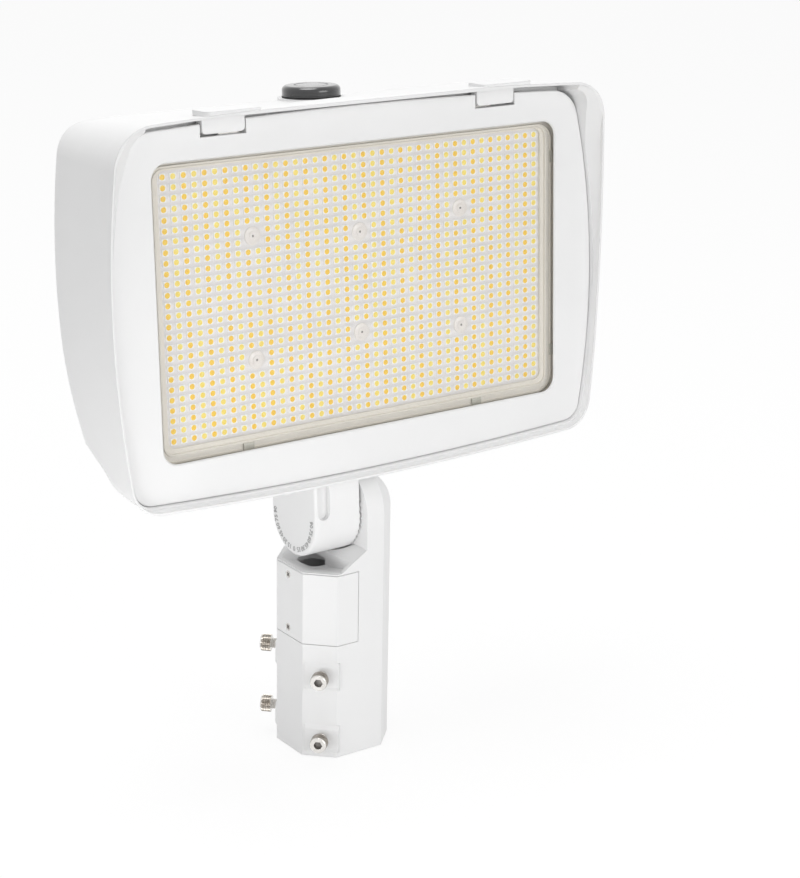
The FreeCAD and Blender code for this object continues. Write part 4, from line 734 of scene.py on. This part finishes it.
def cap_profile():
    side = [(0, 0), (CAP_WALL - 0.7, 0), (CAP_WALL, 0.4)]
    side += [(CAP_WALL, 1.1), (CAP_WALL - 0.3, 1.2), (CAP_WALL - 0.3, 1.5), (CAP_WALL, 1.6), (CAP_WALL, 4.2)]
    profile = [(across, CAP_FOOT + up) for across, up in side]
    for k in range(1, SHOULDER_STEPS + 1):
        angle = math.radians(90 * k / SHOULDER_STEPS)
        profile.append((CAP_WALL - 3.5 + 3.5 * math.cos(angle), CAP_TOP - 3.5 + 3.4 * math.sin(angle)))
    crown = [(12.6, -0.1), (12.2, -0.5), (11.6, -0.5), (11.2, -0.15), (0, 0)]
    return profile + [(across, CAP_TOP + up) for across, up in crown]


bm = spun(cap_profile(), 96)
bmesh.ops.translate(bm, vec=CAP_AXIS, verts=bm.verts)
photocell_cap = make_piece("photocell_drum", bm, head_frame, "photocell_cap", ("photocell",))
gloss_black, shader = new_finish("gloss_black", (0.010, 0.010, 0.011), (0.018, 0.018, 0.019), 0.22,
                                 fine=600.0, slow=60.0, bump=0.06)
shader.inputs["Coat Weight"].default_value = 0.8
shader.inputs["Coat Roughness"].default_value = 0.06
dress(gloss_black, photocell_cap)

# %% [markdown]
# ## The dial's numerals
#
# The toothed knuckle carries a scale of the tilt's degrees, cast as low raised numbers round the rim of
# its left face. They are painted a soft grey, which is painted shade for the dark edges round each number.
# Each number is a small text, thickened, made a mesh, and then stood on the face at its angle, with its
# top outwards.

# %% Raised numbers round the dial
DIAL_FACE, DIAL_RING = -35.8, 24.0
NUMBER_HIGH, NUMBER_THICK = 5.4, 0.4
DEGREES, EACH_WAY = 15, 6


def number_mesh(text, height, thick):
    curve = bpy.data.curves.new("number", "FONT")
    curve.body = text
    curve.size = height
    curve.extrude = thick
    curve.align_x, curve.align_y = "CENTER", "CENTER"
    curve.resolution_u = 3
    holder = bpy.data.objects.new("number", curve)
    mesh = bpy.data.meshes.new_from_object(holder)
    bpy.data.objects.remove(holder)
    bpy.data.curves.remove(curve)
    return mesh


bm = bmesh.new()
for step in range(-EACH_WAY, EACH_WAY + 1):
    mesh = number_mesh(str(abs(step) * DEGREES), NUMBER_HIGH, NUMBER_THICK)
    start = len(bm.verts)
    bm.from_mesh(mesh)
    bpy.data.meshes.remove(mesh)
    bm.verts.ensure_lookup_table()
    stand = (Matrix.Translation(BOARD_TO_PIVOT) @ Matrix.Rotation(math.radians(step * DEGREES), 4, "X")
             @ Matrix.Translation((DIAL_FACE, 0, -DIAL_RING)) @ Matrix.Rotation(math.radians(-90), 4, "Z")
             @ Matrix.Rotation(math.radians(90), 4, "X") @ Matrix.Rotation(math.radians(180), 4, "Z"))
    bmesh.ops.transform(bm, matrix=stand, verts=bm.verts[start:])
dial_numbers = make_piece("dial_numbers", bm, head_frame, "head")
# The numbers' grey is painted shade, standing for the shadows along their edges.
numbers_painted_shade, _ = new_finish("number_grey_painted_shade", (0.40, 0.40, 0.40), (0.50, 0.50, 0.50), 0.5)
dress(numbers_painted_shade, dial_numbers)

# %% [markdown]
# ## The camera, the floor and the light
#
# The lamp was photographed from its left and from above, with a long lens. The floor is plain white.
# It has to stay white in the picture without lighting the lamp from below more than a real table
# would. So rays from the camera, through the glass and off shiny surfaces meet a bright floor, with a
# share of the real shading kept for the shadow, and all others meet plain matt paint. The sky
# does the same: white to look at and in reflections, and about half as strong as a soft light.

# %% The camera
camera_data = bpy.data.cameras.new("camera")
camera_data.lens = 90.9
camera_data.clip_end = 60
camera = bpy.data.objects.new("camera", camera_data)
camera.location = (-0.86695, -1.28252, 0.74346)
camera.rotation_euler = [math.radians(a) for a in (71.934, -0.997, -35.510)]
bpy.context.scene.collection.objects.link(camera)
bpy.context.scene.camera = camera
bpy.context.scene.view_settings.view_transform = "Standard"
print("camera at", [round(v, 3) for v in camera.location])

# %% The floor
FLOOR_HALF, FLOOR_DROP = 30, 0.001
GLOW, GLOW_SHARE = 1.04, 0.86

bm = bmesh.new()
bmesh.ops.create_grid(bm, x_segments=1, y_segments=1, size=FLOOR_HALF)
floor_mesh = bpy.data.meshes.new("floor")
bm.to_mesh(floor_mesh)
bm.free()
floor = bpy.data.objects.new("floor", floor_mesh)
floor.location.z = -FLOOR_DROP
bpy.context.scene.collection.objects.link(floor)

floor_paint = bpy.data.materials.new("floor_white")
floor_paint.use_nodes = True
tree, link = floor_paint.node_tree.nodes, floor_paint.node_tree.links.new
matt = tree["Principled BSDF"]
matt.inputs["Base Color"].default_value = (0.8, 0.8, 0.8, 1)
matt.inputs["Roughness"].default_value = 0.9
rays, glow = tree.new("ShaderNodeLightPath"), tree.new("ShaderNodeEmission")
blend = tree.new("ShaderNodeMixShader")
seen, either, share = (tree.new("ShaderNodeMath") for k in range(3))
seen.operation, either.operation, share.operation = "MAXIMUM", "MAXIMUM", "MULTIPLY"
share.inputs[1].default_value = GLOW_SHARE
link(rays.outputs["Is Camera Ray"], seen.inputs[0])
link(rays.outputs["Is Transmission Ray"], seen.inputs[1])
link(seen.outputs["Value"], either.inputs[0])
link(rays.outputs["Is Glossy Ray"], either.inputs[1])
link(either.outputs["Value"], share.inputs[0])
link(share.outputs["Value"], blend.inputs[0])
glow.inputs["Strength"].default_value = GLOW
link(matt.outputs["BSDF"], blend.inputs[1])
link(glow.outputs["Emission"], blend.inputs[2])
link(blend.outputs["Shader"], tree["Material Output"].inputs["Surface"])
floor_mesh.materials.append(floor_paint)
print("floor size:", 2 * FLOOR_HALF)

# %% The sky
SOFT_LIGHT, WHITE = 0.48, 1.0

world = bpy.data.worlds.new("studio")
world.use_nodes = True
tree, link = world.node_tree.nodes, world.node_tree.links.new
sky, rays, level = tree["Background"], tree.new("ShaderNodeLightPath"), tree.new("ShaderNodeMapRange")
sky.inputs["Color"].default_value = (1, 1, 1, 1)
mirrored, shown = tree.new("ShaderNodeMath"), tree.new("ShaderNodeMath")
mirrored.operation = shown.operation = "MAXIMUM"
level.inputs["To Min"].default_value = SOFT_LIGHT
level.inputs["To Max"].default_value = WHITE
link(rays.outputs["Is Glossy Ray"], mirrored.inputs[0])
link(rays.outputs["Is Transmission Ray"], mirrored.inputs[1])
link(mirrored.outputs["Value"], shown.inputs[0])
link(rays.outputs["Is Camera Ray"], shown.inputs[1])
link(shown.outputs["Value"], level.inputs["Value"])
link(level.outputs["Result"], sky.inputs["Strength"])
bpy.context.scene.world = world
print("sky levels:", SOFT_LIGHT, WHITE)

# %% [markdown]
# Three soft lamps make the shapes read. The key is large and far in front, to the right. The top lamp
# brightens the roof and the visor's brow. The last is small and low on the left: it stands for the
# light that the table throws up at the socket's left faces.


# %% The lamps
def soft_lamp(name, place, target, size, power, spread=180):
    data = bpy.data.lights.new(name, "AREA")
    data.shape = "DISK"
    data.size = size
    data.energy = power
    data.spread = math.radians(spread)
    lamp = bpy.data.objects.new(name, data)
    lamp.location = place
    lamp.rotation_euler = (Vector(target) - Vector(place)).to_track_quat("-Z", "Y").to_euler()
    bpy.context.scene.collection.objects.link(lamp)
    return lamp


lamps = [
    soft_lamp("key", (0.75, -2.72, 1.05), (0, 0, 0.22), 1.9, 27),
    soft_lamp("top", (-0.3, 0.2, 2.8), (0, 0, 0.3), 1.6, 36),
    soft_lamp("low left", (-0.50, -0.28, 0.03), (-0.04, 0, 0.13), 0.36, 0.47, spread=100),
]
for lamp in lamps:
    lamp.visible_camera = False
print("lamps:", [lamp.name for lamp in lamps])
